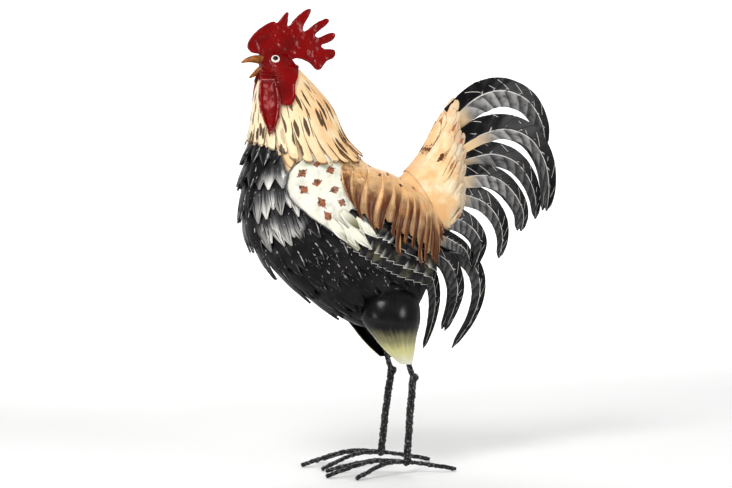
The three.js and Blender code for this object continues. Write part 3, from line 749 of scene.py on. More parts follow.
def wing_paint(look):
    paint = Paint("Wing blade paint")
    (u, v), tone = paint.sheet(), paint.held("tone")
    tooth = (u * look.wing_teeth).part()
    paint.colour = patchy(paint, look.black, look.soot, 14)
    paint.over(paint.noise(18).step(0.5, 0.7) * 0.35, look.olive)
    brush = paint.noise(1.0, 3, paint.vector(u * 60 + tone * 9, v * 3, 0.0))
    band = v.step(0.2, 0.4) * (1 - v.step(0.4, 0.6)) * paint.noise(20, 2).step(0.5, 0.65)
    paint.over(band * 0.4, look.grey)
    wedge = (v - tooth * 0.4 + (brush - 0.5) * 0.6).step(0.35, 1.0) * (1 - tooth.step(0.1, 0.6))
    wedge = wedge * (paint.noise(30, 2).step(0.4, 0.58) * 0.92 + 0.08) * tone
    paint.over(wedge, look.white)
    edge = v.step(0.97, 0.985) * paint.noise(9).step(0.35, 0.5)
    paint.over(edge * 0.8, look.white)
    rib = (1 - abs(v - 0.12).step(0.02, 0.05)) * paint.noise(15).step(0.4, 0.5)
    paint.over(rib * 0.6, look.white)
    return paint.finish(gloss(paint, 0.36), brush + paint.noise(3), 0.25, coat=0.1)


def covert_paint(look):
    paint = Paint("Covert paint")
    (u, v), tone = paint.sheet(), paint.held("tone")
    brush = paint.noise(1.0, 3, paint.vector(u * 8 + tone * 30, v * 2, tone * 5))
    paint.colour = paint.mix((tone + (1 - v) * 0.8).step(0.3, 1.0), look.olive, look.panel)
    paint.over(v.step(0.35, 0.8) * brush.step(0.45, 0.65) * 0.7, look.soot)
    edge = (u - 0.5).step(0.3, 0.42).most(v.step(0.88, 0.97))
    paint.over(edge * brush.step(0.3, 0.5) * 0.85, look.white)
    edge = (0.5 - u).step(0.38, 0.46) * brush.step(0.35, 0.5)
    paint.over(edge * 0.8, look.black)
    return paint.finish(gloss(paint, 0.36), brush, 0.25, coat=0.1)


def saddle_paint(look):
    paint = Paint("Saddle paint")
    u, v = paint.sheet()
    finger = abs((u * look.saddle_fingers).part() - 0.5)
    streak = paint.noise(1.0, 4, paint.vector(u * 70, v * 5, 0.0))
    paint.colour = patchy(paint, look.tan, look.orange, 24, 0.6)
    paint.over((paint.noise(14, 3) - v * 0.35).step(0.2, 0.55) * 0.55, look.cream)
    paint.over(streak.step(0.5, 0.7) * v.step(0.5, 0.75) * 0.6, look.brown)
    speckle = (1 - paint.cells(3.2, randomness=1.0).step(0.16, 0.26)) * paint.noise(20).step(0.45, 0.6)
    paint.over(speckle * v.step(0.1, 0.4) * 0.7, look.streak)
    middle = (1 - finger.step(0.16, 0.4)) * (v + (paint.noise(16) - 0.5) * 0.3).step(0.45, 0.72)
    middle = middle * streak.step(0.15, 0.4)
    paint.over(middle, look.brown)
    core = (1 - finger.step(0.02, 0.24)) * v.step(0.62, 0.85) * streak.step(0.4, 0.58)
    paint.over(core * 0.85, look.streak)
    front = (1 - u.step(0.0, 0.2)) * v.step(0.1, 0.5) * paint.noise(5, 4).step(0.4, 0.6)
    paint.over(front * 0.75, look.brown)
    rim = finger.step(0.36, 0.45) * v.step(0.5, 0.62).most(v.step(0.97, 0.99))
    paint.over(rim * streak.step(0.25, 0.5) * 0.85, look.cream)
    paint.over(spots(paint, SADDLE_LOZENGES, 5.0) * 0.9, look.streak)
    height = streak * v.step(0.4, 0.7) * 0.6 + paint.noise(3) * 0.4
    return paint.finish(gloss(paint, 0.36), height, 0.3, coat=0.12)


def tail_paint(look):
    paint = Paint("Tail cover paint")
    (u, v), tone, (x, _, z) = paint.sheet(), paint.held("tone"), paint.place()
    paint.colour = patchy(paint, look.cream, look.pale, 20)
    paint.over(paint.noise(30, 2).step(0.4, 0.65) * 0.6, look.orange)
    front = 1 - (x - z * 0.55 + 205).step(-20, 26)
    paint.over(front * paint.noise(20).step(0.3, 0.55) * 0.75, look.orange)
    fade = (x * 0.9 + paint.noise(16) * 24).step(58, 92)
    paint.over(fade * 0.55, look.grey)
    edge = abs(u - 0.5).step(0.42, 0.48).most(v.step(0.965, 0.985)) * tone.step(0.35, 0.5)
    paint.over(edge * paint.noise(5).step(0.35, 0.5) * 0.75, look.streak)
    far = abs(u - 0.5) * 2.2 + abs(v - 0.6) * 2 + paint.noise(4) * 0.6
    paint.over((1 - far.step(0.75, 0.95)) * tone.step(0.72, 0.76) * 0.85, look.rust)
    paint.over(spots(paint, TAIL_MARKS, 7.5, 1.9) * paint.noise(5, 3).step(0.3, 0.55), look.brown)
    height = paint.noise(1.0, 3, paint.vector(u * 12, v * 3, tone * 8)) + paint.noise(4)
    return paint.finish(gloss(paint, 0.34), height, 0.3, coat=0.15)


def blade_paint(look, name, dark, root):
    """dark is how black the blade is below its fold, root how far cream reaches along it."""
    paint = Paint(name)
    (u, v), tone = paint.sheet(), paint.held("tone")
    low = 1 - u.step(0.49, 0.51)
    # Bent creases: a herringbone of facets that run out from the fold.
    barb = (v * look.blade_creases - abs(u - 0.5) * 1.8).part()
    facet = barb.step(0.0, 0.9) * (1 - barb.step(0.93, 1.0))
    brush = paint.noise(1.0, 4, paint.vector(u * 5, v * 18, 0.0))
    paint.colour = patchy(paint, look.black, look.soot, 20)
    # The lower face runs from soot to silver, with a painted light-and-shade ramp across each crease facet.
    under = paint.mix((facet * 0.75 + 0.2) * brush.step(0.2, 0.6), look.soot, look.silver)
    paint.over(low * (1 - dark) * (1 - v.step(0.3, 0.85) * 0.8), under)
    upper = (1 - abs((v * 9 + u * 2.2 + tone * 3).part() - 0.5).step(0.012, 0.03)) * (1 - low)
    upper = upper * paint.noise(16, 1).step(0.47, 0.52) * u.step(0.55, 0.6)
    paint.over(upper * 0.8, look.white)
    # A thin white line along the fold: a painted highlight on the ridge.
    ridge = (1 - abs(u - 0.5).step(0.008, 0.026)) * v.step(0.06, 0.14)
    paint.over(ridge * paint.noise(10).step(0.3, 0.5) * 0.75, look.white)
    tick = (1 - abs(barb - 0.06).step(0.03, 0.07)) * (1 - abs(u - 0.56).step(0.04, 0.09))
    paint.over(tick * v.step(0.1, 0.2) * paint.noise(9).step(0.45, 0.6) * 0.6, look.white)
    cream = paint.mix(v.step(0, root), look.cream, look.grey)
    fade = 1 - (v + (paint.noise(13) - 0.5) * 0.1).step(root * 0.3, root * 1.15)
    paint.over(fade * low, cream)
    height = facet * 0.9 + brush * 0.4 + paint.noise(3) * 0.3
    return paint.finish(gloss(paint, 0.3), height, 0.45, coat=0.03, specular=0.1)


def thigh_paint(look):
    paint = Paint("Thigh paint")
    (x, _, z), (u, v) = paint.place(), paint.sheet()
    level = z + paint.noise(22) * 10 - 5 + (paint.noise(1.0, 3, paint.vector(u * 30, v * 2, 0.0)) - 0.5) * 14
    paint.colour = patchy(paint, look.black, look.soot, 25, 0.5)
    paint.over(1 - level.step(176, 194), look.olive)
    paint.over(1 - level.step(162, 178), look.thigh_yellow)
    paint.over(1 - level.step(140, 164), look.panel)
    wisp = paint.noise(1.0, 2, paint.vector(u * 50, v * 5, 3.0)).step(0.62, 0.7) * (1 - level.step(160, 205))
    paint.over(wisp * 0.5, look.white)
    paint.colour = paint.mix(paint.held("outer").step(0.4, 0.6), look.black, paint.colour)
    return paint.finish(gloss(paint, 0.26), paint.noise(7), 0.15, coat=0.07, specular=0.14)


def rod_paint(look):
    paint = Paint("Weld-beaded rod paint")
    bead = paint.cells(3.6).step(0.0, 0.75)
    paint.colour = paint.mix(paint.noise(7).step(0.35, 0.7), look.rod, look.soot)
    # Grey painted highlights on the weld beads.
    paint.over(bead.step(0.5, 0.9) * paint.noise(3).step(0.5, 0.65) * 0.55, look.grey)
    return paint.finish(gloss(paint, 0.32, 0.2), bead + paint.noise(1.6, 3) * 0.6, 1.0, coat=0.2)


def floor_paint():
    paint = Paint("Pale floor")
    paint.colour = paint.mix(paint.noise(900, 3), srgb(244, 244, 243), srgb(238, 238, 238))
    _, y, _ = paint.place()
    glow = paint.mix(y.step(500, 2600), (0, 0, 0), (1, 1, 1))
    paint.feed(paint.surface.inputs["Emission Color"], glow)
    paint.surface.inputs["Emission Strength"].default_value = 0.75
    return paint.finish(paint.noise(300) * 0.1 + 0.6, paint.noise(40), 0.1, specular=0.1)


# ------------------------------------------------------------------ sizes and colours
def size_prop(name, description, millimetres):
    size = millimetres * MM
    return bpy.props.FloatProperty(name=name, description=description, default=size, unit="LENGTH")


def count_prop(name, description, number):
    return bpy.props.IntProperty(name=name, description=description, default=number, min=2, max=80)


def colour_prop(name, description, *screen):
    return bpy.props.FloatVectorProperty(
        name=name, description=description, default=srgb(*screen), subtype="COLOR", size=3, min=0, max=1
    )


class RoosterSizes(bpy.types.PropertyGroup):
    cover: size_prop("Cover sheet", "Thickness of the covers and plates", 1.2)
    feather: size_prop("Feather sheet", "Thickness of the feather strips", 0.9)
    breast_width: size_prop("Breast feather width", "Width of one breast feather", 13.0)
    breast_rise: size_prop("Breast rise", "How far breast feathers stand off at their tips", 5.0)
    cape_lift: size_prop("Cape stand-off", "How far the neck cover stands off at its fringe", 4.0)
    comb_thick: size_prop("Comb thickness", "Thickness of the comb plate", 5.6)
    wattle_length: size_prop("Wattle length", "Length of a wattle", 73.0)
    eye_radius: size_prop("Eye radius", "Radius of an eye stud", 5.2)
    blade_crease: size_prop("Blade crease", "How far the fold of a tail blade stands out", 4.0)
    shank_rod: size_prop("Shank rod", "Radius of the shank rods", 4.7)
    upper_rod: size_prop("Upper rod", "Radius of the upper leg rods", 3.6)
    toe_rod: size_prop("Toe rod", "Radius of the toe rods", 2.7)


class RoosterLook(bpy.types.PropertyGroup):
    cape_fingers: count_prop("Neck fingers", "Fingers in the fringe of the neck cover", 30)
    saddle_fingers: count_prop("Saddle fingers", "Fingers on each side of the saddle", 17)
    wing_teeth: count_prop("Wing teeth", "Teeth along the edge of a wing blade", 13)
    blade_creases: count_prop("Blade creases", "Bent creases along a tail blade", 10)
    black: colour_prop("Black", "Breast, belly and tail black", 9, 8, 10)
    soot: colour_prop("Soot", "Lighter patches in the black", 27, 25, 27)
    grey: colour_prop("Grey", "Dry-brushed grey", 140, 139, 140)
    silver: colour_prop("Silver grey", "Folded under sides of the tail blades", 172, 171, 170)
    white: colour_prop("White", "Feather tips and lines", 236, 233, 226)
    cream: colour_prop("Cream", "Neck, tail base and rims", 240, 205, 152)
    pale: colour_prop("Pale cream", "Lighter patches in the cream", 246, 226, 190)
    orange: colour_prop("Orange", "Warm tint on the cream", 228, 164, 100)
    tan: colour_prop("Tan", "Saddle", 214, 172, 124)
    brown: colour_prop("Brown", "Saddle feathers", 94, 50, 28)
    streak: colour_prop("Streak", "Dark brown strokes and outlines", 52, 22, 4)
    rust: colour_prop("Rust", "Spots on the shoulder", 158, 84, 48)
    panel: colour_prop("Panel", "Shoulder cream white", 230, 229, 211)
    olive: colour_prop("Olive", "Greenish grey shades", 128, 124, 88)
    thigh_yellow: colour_prop("Thigh yellow", "Yellow band on the thighs", 204, 200, 138)
    red: colour_prop("Red", "Comb, face and wattles", 124, 0, 0)
    dark_red: colour_prop("Dark red", "Darker patches in the red", 88, 0, 3)
    # Pink stands for painted highlights on the red: faint glints, and the wattles' rims and panels.
    highlight_pink: colour_prop("Pink", "Worn lights in the red", 214, 132, 132)
    horn: colour_prop("Horn", "Beak", 166, 98, 38)
    dark_horn: colour_prop("Dark horn", "Root and tip of the beak", 96, 52, 24)
    eye_ring: colour_prop("Eye ring", "Beige ring of an eye", 196, 160, 128)
    rod: colour_prop("Rod black", "Legs", 16, 15, 17)


def mm(size):
    return size / MM


def tools():
    return bpy.context.scene.rooster_sizes, bpy.context.scene.rooster_look


def chance(seed, *shape):
    return np.random.default_rng(seed).random(shape)


# ------------------------------------------------------------------ forms of the pieces
def pointed(v, sharp=0.55):
    """Outline of a pointed feather: its width along v as a share of its full width."""
    return (0.72 + 0.28 * rise(v, 0, 0.35)) * (1 - rise(v, sharp, 1.08)) ** 0.8 + 0.02


def rounded(v):
    """Outline of a round-tipped feather."""
    end = np.clip((v - 0.8) / 0.205, 0, 1)
    return (0.75 + 0.25 * rise(v, 0, 0.4)) * np.sqrt(np.clip(1 - end**2, 0, 1)) + 0.01


def fringe(u, count, slit_width):
    """The number of the finger that u falls in, how far across it is, and how near a slit."""
    spot = u * count
    number = np.minimum(spot.astype(int), count - 1)
    across = 0.5 - 0.5 * np.cos(np.pi * (spot - number))
    return number, across, np.clip(1 - np.minimum(across, 1 - across) / slit_width, 0, 1)


def planted(name, blank, skin, roots, tips, angles, widths, outline, lifts, crease=1.0, lean=None, seed=1):
    """Feathers laid on a skin from root stations to tip stations at given angles.
    lifts gives the stand-off at the root and at the tip of each."""
    roots, tips, angles, widths = (np.asarray(a, float)[:, None] for a in (roots, tips, angles, widths))
    low, high = (np.asarray(a, float)[:, None] for a in lifts)
    lean = np.zeros_like(angles) if lean is None else np.asarray(lean, float)[:, None]
    arc = skin.degree(tips * 0.7 + roots * 0.3, angles)

    def shape(copy, u, v, w):
        station = roots + (tips - roots) * v
        angle = angles + ((u - 0.5) * outline(v) * widths + lean * v) / np.maximum(arc, 0.15)
        ridge = crease * (1 - np.abs(2 * u - 1)) * np.minimum(1, 1.5 * v)
        return skin.raised(station, angle, low + (high - low) * v**1.15 + ridge + w)

    return lay(name, blank, shape, len(roots), chance(seed, len(roots)))


BREAST_FLICK = 3.2  # how much further the tips at the front of the breast stand off
BREAST_UNEVEN = 1.4  # how much neighbouring tips differ
BREAST_CREASE = 1.7  # height of the crease down a feather
UNDER_DROP = 1.8  # how much lower the second layer lies
BELLY_ROW = 6  # from this row on, the tips lie flat


def breast_row(row, sizes):
    tip, pitch = BREAST_TIPS[row], BREAST_TIPS[row] - BREAST_TIPS[row - 1]
    side = read(WING_EDGE, tip - 0.3) + 4
    arc = body.degree(tip - 0.4, 35.0)
    blank = Blank(4, 7, mm(sizes.feather))
    layers = []
    for under in (0, 1):
        count = int(round(2 * side * arc / mm(sizes.breast_width))) + under
        jitter = chance(10 * row + under, 4, count) - 0.5
        angles = np.linspace(-side, side, count) + jitter[0] * 3
        tips = tip - 0.06 - 0.3 * under * pitch + jitter[1] * 0.16
        roots = tip - 1.5 * pitch + 0 * angles
        flick = BREAST_FLICK * (1 - rise(np.abs(angles), 12, 42)) * (row < BELLY_ROW)
        uneven = (np.arange(count) % 2 + jitter[2]) * BREAST_UNEVEN
        raised = mm(sizes.breast_rise) + flick - UNDER_DROP * under + uneven
        widths = mm(sizes.breast_width) * (1.3 + 0.3 * jitter[3])
        layer = planted(
            f"breast_layer_{under}", blank, body, roots, tips, angles, widths, pointed,
            (0.4 + 0.3 * (1 - under) + 0 * angles, raised), BREAST_CREASE, jitter[0] * 5, 20 * row + under,
        )
        layers.append(layer)
    return joined(f"breast_feathers_{row}", layers)


CAPE_TOP = 2.0
# Angle and the station that the neck fringe reaches there.
CAPE_TIPS = [(0, 5.15), (40, 5.45), (75, 6.0), (125, 6.0), (155, 5.6), (180, 5.45)]


def cape_rise(station, lift):
    return 1.6 + lift * (np.maximum(station - CAPE_TOP, 0) / 3.2) ** 2


def neck_cover(sizes, look):
    count, lift_scale = look.cape_fingers, mm(sizes.cape_lift)
    stray = chance(5, 3, count + 1) - 0.5

    def shape(copy, u, v, w):
        number, across, slit = fringe(u, count, 0.1)
        tip = 1 + 0.035 * stray[0][number] - 0.05 * np.abs(2 * across - 1) ** 2.5
        reach = tip - (0.2 + 0.05 * stray[1][number]) * slit
        angle = 360 * (number + across) / count - 180
        free = rise(v, 0.72, 1.0)
        angle = angle + free * 5 * stray[2][number]
        station = CAPE_TOP + (read(CAPE_TIPS, np.abs(360 * u - 180)) - CAPE_TOP) * v * reach
        cup = 1.5 * (1 - (2 * across - 1) ** 2) * free - 0.9 * slit * rise(v, 0.76, 0.84)
        lift = cape_rise(station, lift_scale) + cup + free * 2.2 * stray[0][number] + w
        return body.raised(station, np.clip(angle, -180, 180), lift)

    cover = lay("neck_cover", Blank(count * 8, 34, mm(sizes.feather)), shape)
    angles = np.linspace(-176, 176, count) + 360 / count / 2
    jitter = chance(6, 3, count) - 0.5
    tips = read(CAPE_TIPS, np.abs(angles)) + 0.06 + 0.1 * jitter[0]
    under = planted(
        "neck_under", Blank(4, 8, mm(sizes.feather)), body, tips - 1.1, tips, angles, 13.5 + 3 * jitter[1],
        rounded, (0.8 + 0 * angles, lift_scale * 0.8 + jitter[2] * 1.2), 1.2, jitter[1] * 6, 7,
    )
    return joined("neck_cover", [cover, under])


# Angle and the station that a cheek mask reaches there.
MASK_EDGE = [
    (4, 2.2), (30, 2.6), (56, 2.9), (61, 3.55), (72, 3.8), (84, 3.65), (96, 3.1), (110, 2.62), (123, 2.22),
    (136, 1.92), (150, 1.72), (164, 1.6), (176, 1.55),
]


def cheek_mask(sizes):
    edge = smooth_line(MASK_EDGE)

    def shape(copy, u, v, w):
        angle = 4 + 172 * u
        end = np.interp(angle, edge[:, 0], edge[:, 1])
        station = 0.12 + (end - 0.12) * v
        over_cape = (cape_rise(station, 4.0) + 2.6) * (1 - 0.5 * rise(angle, 104, 128))
        lift = 1.2 + rise(station, 1.35, 1.85) * over_cape
        spot = body.point(station, angle)
        # Cheek wrinkles: folds that curl round the corner of the beak.
        far = np.hypot(spot[..., 0] + 164, spot[..., 2] - 560)
        folds = np.sin(far * 1.25 + 0.6 * np.sin(spot[..., 0] * 0.3))
        folds = folds * rise(far, 27, 31) * (1 - rise(far, 46, 52))
        lift = lift + 0.8 * folds * rise(angle, 18, 32) * (1 - rise(angle, 72, 92))
        socket = np.hypot(spot[..., 0] + 167, spot[..., 2] - 540)
        lift = lift + 0.8 * np.exp(-(((socket - 8.5) / 2.2) ** 2))
        rim = 0.7 * rise(v, 0.93, 0.985)
        return body.raised(station, angle, lift + rim + w)

    return lay("cheek", Blank(110, 90, mm(sizes.cover)), shape)


# Outline of the comb, x and z.
COMB_EDGE = [
    (-188, 549), (-196, 550), (-201, 556), (-200, 565), (-193, 574), (-184, 582), (-175, 588), (-166, 591),
    (-162, 589), (-158, 592), (-153, 599), (-148, 603.5), (-145.5, 602), (-146.5, 594), (-147, 585), (-143, 587),
    (-137, 595), (-128, 603), (-120, 608), (-115.5, 608), (-115.5, 604), (-120, 595), (-125, 585), (-125.5, 579),
    (-120, 581), (-111, 588), (-101, 593.5), (-93.5, 596), (-90, 593.5), (-93, 588), (-103, 580), (-110, 573),
    (-105, 571), (-95, 575), (-86, 577.5), (-81.5, 575), (-83, 570), (-92, 564), (-101, 560), (-97, 556.5),
    (-89, 556), (-83, 554.5), (-81.5, 549), (-86, 543.5), (-93, 540), (-98, 534), (-103, 529), (-108, 528.5),
    (-114, 534), (-122, 540), (-133, 543), (-146, 540), (-158, 538), (-174, 539),
]


def comb_plate(sizes):
    edge = smooth_line(COMB_EDGE + COMB_EDGE[:1], 5)[:-1]
    clear_selection()
    bpy.ops.mesh.primitive_circle_add(vertices=len(edge), radius=1, fill_type="NGON")
    comb = bpy.context.object
    comb.name = comb.data.name = "comb_plate"
    half = mm(sizes.comb_thick) / 2
    set_corners(comb, np.column_stack([edge[:, 0], np.full(len(edge), half), edge[:, 1]]))
    bpy.ops.object.mode_set(mode="EDIT")
    bpy.ops.mesh.select_all(action="SELECT")
    bpy.ops.mesh.extrude_region_move(TRANSFORM_OT_translate={"value": (0, -2 * half * MM, 0)})
    bpy.ops.mesh.select_all(action="SELECT")
    bpy.ops.mesh.normals_make_consistent(inside=False)
    bpy.ops.object.mode_set(mode="OBJECT")
    melted(comb, 5, "CLOUDS", 11, 0.6)
    finish_mesh(comb, 60)
    return comb


def horn(name, line_points, sizes):
    line = Line([(x, 0, z) for x, z in line_points])
    high, wide = ([(k / (len(sizes) - 1), size[side]) for k, size in enumerate(sizes)] for side in (0, 1))

    def shape(u, v):
        t, close = capped(v, 0.03)
        along, turn = line.along(t), 2 * np.pi * u
        ridge = 1 + 0.12 * np.cos(turn) ** 8 * (np.cos(turn) > 0)
        spots = line.at(t)
        spots[:, 0] -= along[:, 2] * np.cos(turn) * read(high, t) * close * ridge
        spots[:, 2] += along[:, 0] * np.cos(turn) * read(high, t) * close * ridge
        spots[:, 1] += np.sin(turn) * read(wide, t) * close
        return spots

    return closed_skin(name, 32, 40, shape)


# Profile of an eye stud from the middle of its back, round its rim, to the middle of its face.
EYE_PROFILE = [
    (0, -1.2), (0.6, -1.2), (1, -1.0), (1.02, 0.3), (0.94, 1.1), (0.8, 1.3), (0.7, 1.1), (0.6, 1.9),
    (0.3, 2.7), (0, 3.0),
]


def eye_stud(sizes):
    station, angle = np.array([0.85]), np.array([75.0])
    out = body.normal(station, angle)[0]
    middle = body.raised(station, angle, np.array([2.75]))[0]
    side = np.cross(out, (0, 0, 1))
    side /= np.linalg.norm(side)
    up = np.cross(side, out)
    radius = mm(sizes.eye_radius)
    profile = Line(EYE_PROFILE)

    def shape(u, v):
        spots, turn = profile.at(v), 2 * np.pi * u
        far, high = spots[:, 0] * radius, spots[:, 1]
        flat = np.outer(far * np.cos(turn), side) + np.outer(far * np.sin(turn), up)
        return middle + flat + np.outer(high, out)

    return closed_skin("eye_stud", 40, 48, shape)


def wattle(sizes):
    across = np.array([0.79, -0.61, 0])
    out = np.array([-0.61, -0.79, 0])
    down = np.array([0, -0.2, -1]) / np.linalg.norm([0, -0.2, -1])
    top = np.array([-181, -25, 517.0])

    def shape(copy, u, v, w):
        x = 2 * u - 1
        half = 15 * np.maximum(0.05, np.sin(np.pi * (0.2 + 0.8 * v))) ** 0.8
        far = np.minimum(1 - np.abs(x), np.minimum(v * 4.5 + 0.02, (1 - v) * 4.5))
        rim = 2.8 * np.exp(-(((far - 0.15) / 0.085) ** 2))
        panel = 1.1 * rise(far, 0.3, 0.7)
        spot = top + across * (x * half)[..., None] + down * (mm(sizes.wattle_length) * v)[..., None]
        return spot + out * (rim + panel + w - 1.2 * np.abs(x) ** 3)[..., None]

    return lay("wattle", Blank(48, 90, 2.0), shape)


def side_sheet(name, blank, upper_line, lower_line, lift, teeth=0, notch=0.0, tone=0.5):
    """A sheet on the flank between two lines seen from the side, with teeth on its lower edge."""
    upper, lower = (Line([(x, 0, z) for x, z in line]) for line in (upper_line, lower_line))

    def shape(copy, u, v, w):
        cut = notch * (u * teeth - np.floor(u * teeth)) * rise(v, 0.55, 1)
        depth = (v - cut)[..., None]
        spot = upper.at(u) * (1 - depth) + lower.at(u) * depth
        station, angle = body.find(spot[..., 0], spot[..., 2])
        return body.raised(station, angle, lift(u, v) + w)

    return lay(name, blank, shape, 1, [tone])


# Edges of the shoulder sheet and of the three wing blades, x and z.
SHOULDER_BACK = [(-94, 416), (-86, 390), (-81, 367), (-77, 349), (-74, 330), (-66, 304)]
SHOULDER_FRONT = [(-138, 418), (-161, 396), (-163, 368), (-141, 343), (-107, 319), (-76, 296)]
WING_BLADES = [
    ([(-92, 356), (-58, 343), (-8, 318), (40, 284)], [(-92, 333), (-60, 317), (-31, 303), (45, 262)]),
    ([(-96, 344), (-58, 324), (-12, 300), (38, 272)], [(-101, 322), (-66, 301), (-30, 280), (36, 255)]),
    ([(-94, 328), (-54, 303), (-8, 278), (32, 264)], [(-97, 307), (-62, 284), (-22, 263), (28, 246)]),
]
WING_NOTCH = 0.14  # depth of the teeth as a share of the blade's
# Small pointed coverts between the shoulder and the long blades: root x, z, tip x, z, width.
COVERTS = [
    (-80, 336, -50, 312, 12), (-92, 338, -66, 312, 13), (-104, 332, -78, 303, 13), (-88, 326, -58, 299, 12),
    (-98, 346, -74, 322, 12), (-112, 336, -90, 308, 12),
]


def shoulder(sizes):
    def lift(u, v):
        low_top = 0.25 + 0.75 * rise(u, 0.05, 0.35)
        swell = (8.2 * v - 3.5 * rise(v, 0.93, 1.0)) * low_top + 0.8 * np.sin(np.pi * v)
        return 2.4 + swell - 1.5 * rise(u, 0.9, 1)

    return side_sheet("shoulder", Blank(70, 50, mm(sizes.cover)), SHOULDER_BACK, SHOULDER_FRONT, lift)


def wing_coverts(sizes):
    feathers = []
    for k, (x0, z0, x1, z1, width) in enumerate(COVERTS):
        dx, dz = x1 - x0, z1 - z0
        far = math.hypot(dx, dz)

        def shape(copy, u, v, w):
            side = (u - 0.5) * width * pointed(v, 0.45)
            x, z = x0 + dx * v + dz / far * side, z0 + dz * v - dx / far * side
            station, angle = body.find(x, z)
            ridge = 1.6 * (1 - np.abs(2 * u - 1))
            return body.raised(station, angle, 7.6 + 0.5 * k + 1.2 * v + ridge + w)

        feathers.append(lay(f"covert_{k}", Blank(6, 14, mm(sizes.feather)), shape, 1, [chance(40 + k, 1)[0]]))
    return joined("wing_coverts", feathers)


SADDLE_RIDGE = (5.0, 9.2)  # first and last station of the saddle along the back
SADDLE_TIPS = [(-84, 352), (-56, 322), (-29, 302), (-1, 290), (22, 279), (37, 277), (44, 298), (50, 320)]


def saddle_place(u, v):
    """Station and angle of a place on the saddle: u along the back, v from the ridge down."""
    tip = Line([(x, 0, z) for x, z in SADDLE_TIPS]).at(u)
    tip_station, tip_angle = body.find(tip[..., 0], tip[..., 2])
    root = 178.5 - 45 * (1 - rise(u, 0, 0.2)) - 10 * rise(u, 0.45, 0.9)
    early = 2.2 - np.minimum(1, u * 4)
    start = SADDLE_RIDGE[0] + (SADDLE_RIDGE[1] - SADDLE_RIDGE[0]) * u
    return start + (tip_station - start) * v, root + (tip_angle - root) * (1 - np.clip(1 - v, 0, 1) ** early)


def saddle_cover(sizes, look):
    count = look.saddle_fingers
    stray = chance(11, 4, count) - 0.5

    def shape(copy, u, v, w):
        number, across, slit = fringe(u, count, 0.07)
        reach = 1.0 + 0.16 * stray[0][number] - 0.06 * np.abs(2 * across - 1) ** 2.5
        reach = reach - (0.36 + 0.12 * stray[1][number]) * slit
        free = rise(v, 0.55, 1.0)
        narrow = 0.5 + (across - 0.5) * (1 - 0.46 * free)
        station, angle = saddle_place((number + narrow) / count, v * reach)
        angle = angle + free * 3.0 * stray[2][number]
        cup = 2.0 * (1 - (2 * across - 1) ** 2) * rise(v, 0.5, 0.72) - 0.8 * slit
        lift = 2 + 7.5 * np.clip(v * reach, 0, 2) ** 0.8 + cup + free * 3.0 * stray[3][number] + w
        return body.raised(station, angle, lift)

    cover = lay("saddle_cover", Blank(count * 8, 30, mm(sizes.feather)), shape)

    def under_shape(copy, u, v, w):
        middle = (copy + 0.5 + (stray[0][copy[:, 0]] * 0.4)[:, None]) / (count + 0.5)
        along = middle + (u - 0.5) * rounded(v) * 1.15 / count
        down = 0.45 + (0.42 + 0.12 * stray[1][copy[:, 0]][:, None]) * v
        station, angle = saddle_place(np.clip(along, 0, 1), down)
        ridge = 1.3 * (1 - np.abs(2 * u - 1))
        return body.raised(station, angle, 4.6 + 2.2 * v + ridge + w)

    under = lay("saddle_under", Blank(4, 9, mm(sizes.feather)), under_shape, count)
    return joined("saddle_cover", [cover, under])


def tail_coverts(sizes):
    def sheet(copy, u, v, w):
        return tail.raised(0.6 + 3.3 * v, 2 + 172 * u, 0.9 + 1.2 * v + w)

    layers = [lay("tail_sheet", Blank(50, 30, mm(sizes.feather)), sheet, 1, [0.1])]
    blank = Blank(6, 10, mm(sizes.feather))
    for row, (tip, count, wide) in enumerate(((4.35, 9, 15), (3.95, 10, 13), (3.5, 9, 13), (3.05, 8, 13))):
        jitter = chance(60 + row, 4, count) - 0.5
        angles = np.linspace(14, 166, count) + jitter[0] * 9
        tips = tip - 0.35 * np.abs(angles / 90 - 0.85) + jitter[1] * 0.3
        layer = planted(
            f"tail_row_{row}", blank, tail, tips - 1.3, tips, angles, wide + 4 * jitter[2], rounded,
            (1.6 + 0 * angles, 2.6 + 0.7 * row + jitter[3]), 1.1, jitter[0] * 4, 70 + row,
        )
        layers.append(layer)
    return joined("tail_coverts", layers)


def tail_blade(number, sizes):
    above, below, layer, points = BLADES[number - 1]
    line = Line([(x, 0, z) for x, z in points])
    plane = BLADE_INNER + BLADE_LAYER * layer
    creases = 9 + number % 3

    def shape(copy, u, v, w):
        t = np.clip(v, 0, 1)
        along, spots = line.along(t), line.at(t)
        side = 2 * u - 1
        width = np.where(side < 0, below, above) * np.minimum(1, 0.8 + t) * (1.06 - 0.82 * t**2.2)
        width = width * (1 - 0.75 * rise(t, 0.93, 1.0) ** 2)
        barb = t * creases - np.abs(side) * 0.9
        scallop = 0.02 * (barb - np.floor(barb)) * np.abs(side) ** 4
        far = side * width * (1 - scallop)
        fold = mm(sizes.blade_crease) * np.minimum(1, 1.2 - t) * (1 - np.abs(side))
        facet = 0.55 * (barb - np.floor(barb)) * np.abs(side) * (1 - rise(t, 0.85, 1))
        spots = np.broadcast_to(spots, (*side.shape, 3)).copy()
        spots[..., 0] -= along[..., 2] * far
        spots[..., 2] += along[..., 0] * far
        spots[..., 1] = -(plane + fold + facet + w)
        return spots

    return lay("tail_blade", Blank(10, 90, mm(sizes.cover)), shape, 1, [chance(80 + number, 1)[0]])


THIGH_PLANE = (38, 46)  # how far the open side of a thigh is from the middle, at its top and its foot
THIGH_DOME = 15  # height of the dome over its first slice
KNEE_LEFT, KNEE_RIGHT, KNEE_HEIGHT = 8.5, 15.0, 127.0
KNEE_LUMP = 5.6  # radius of the welds at the knee and the ankle
LEG_SIDE = 50.0
ANKLE = (0.5, -LEG_SIDE, 16.0)
# Toes: x and side of the tip, and height of the arch.
TOES = [(-112, 52, 19), (-82, 84, 17), (-98, 8, 17), (70, 48, 11)]


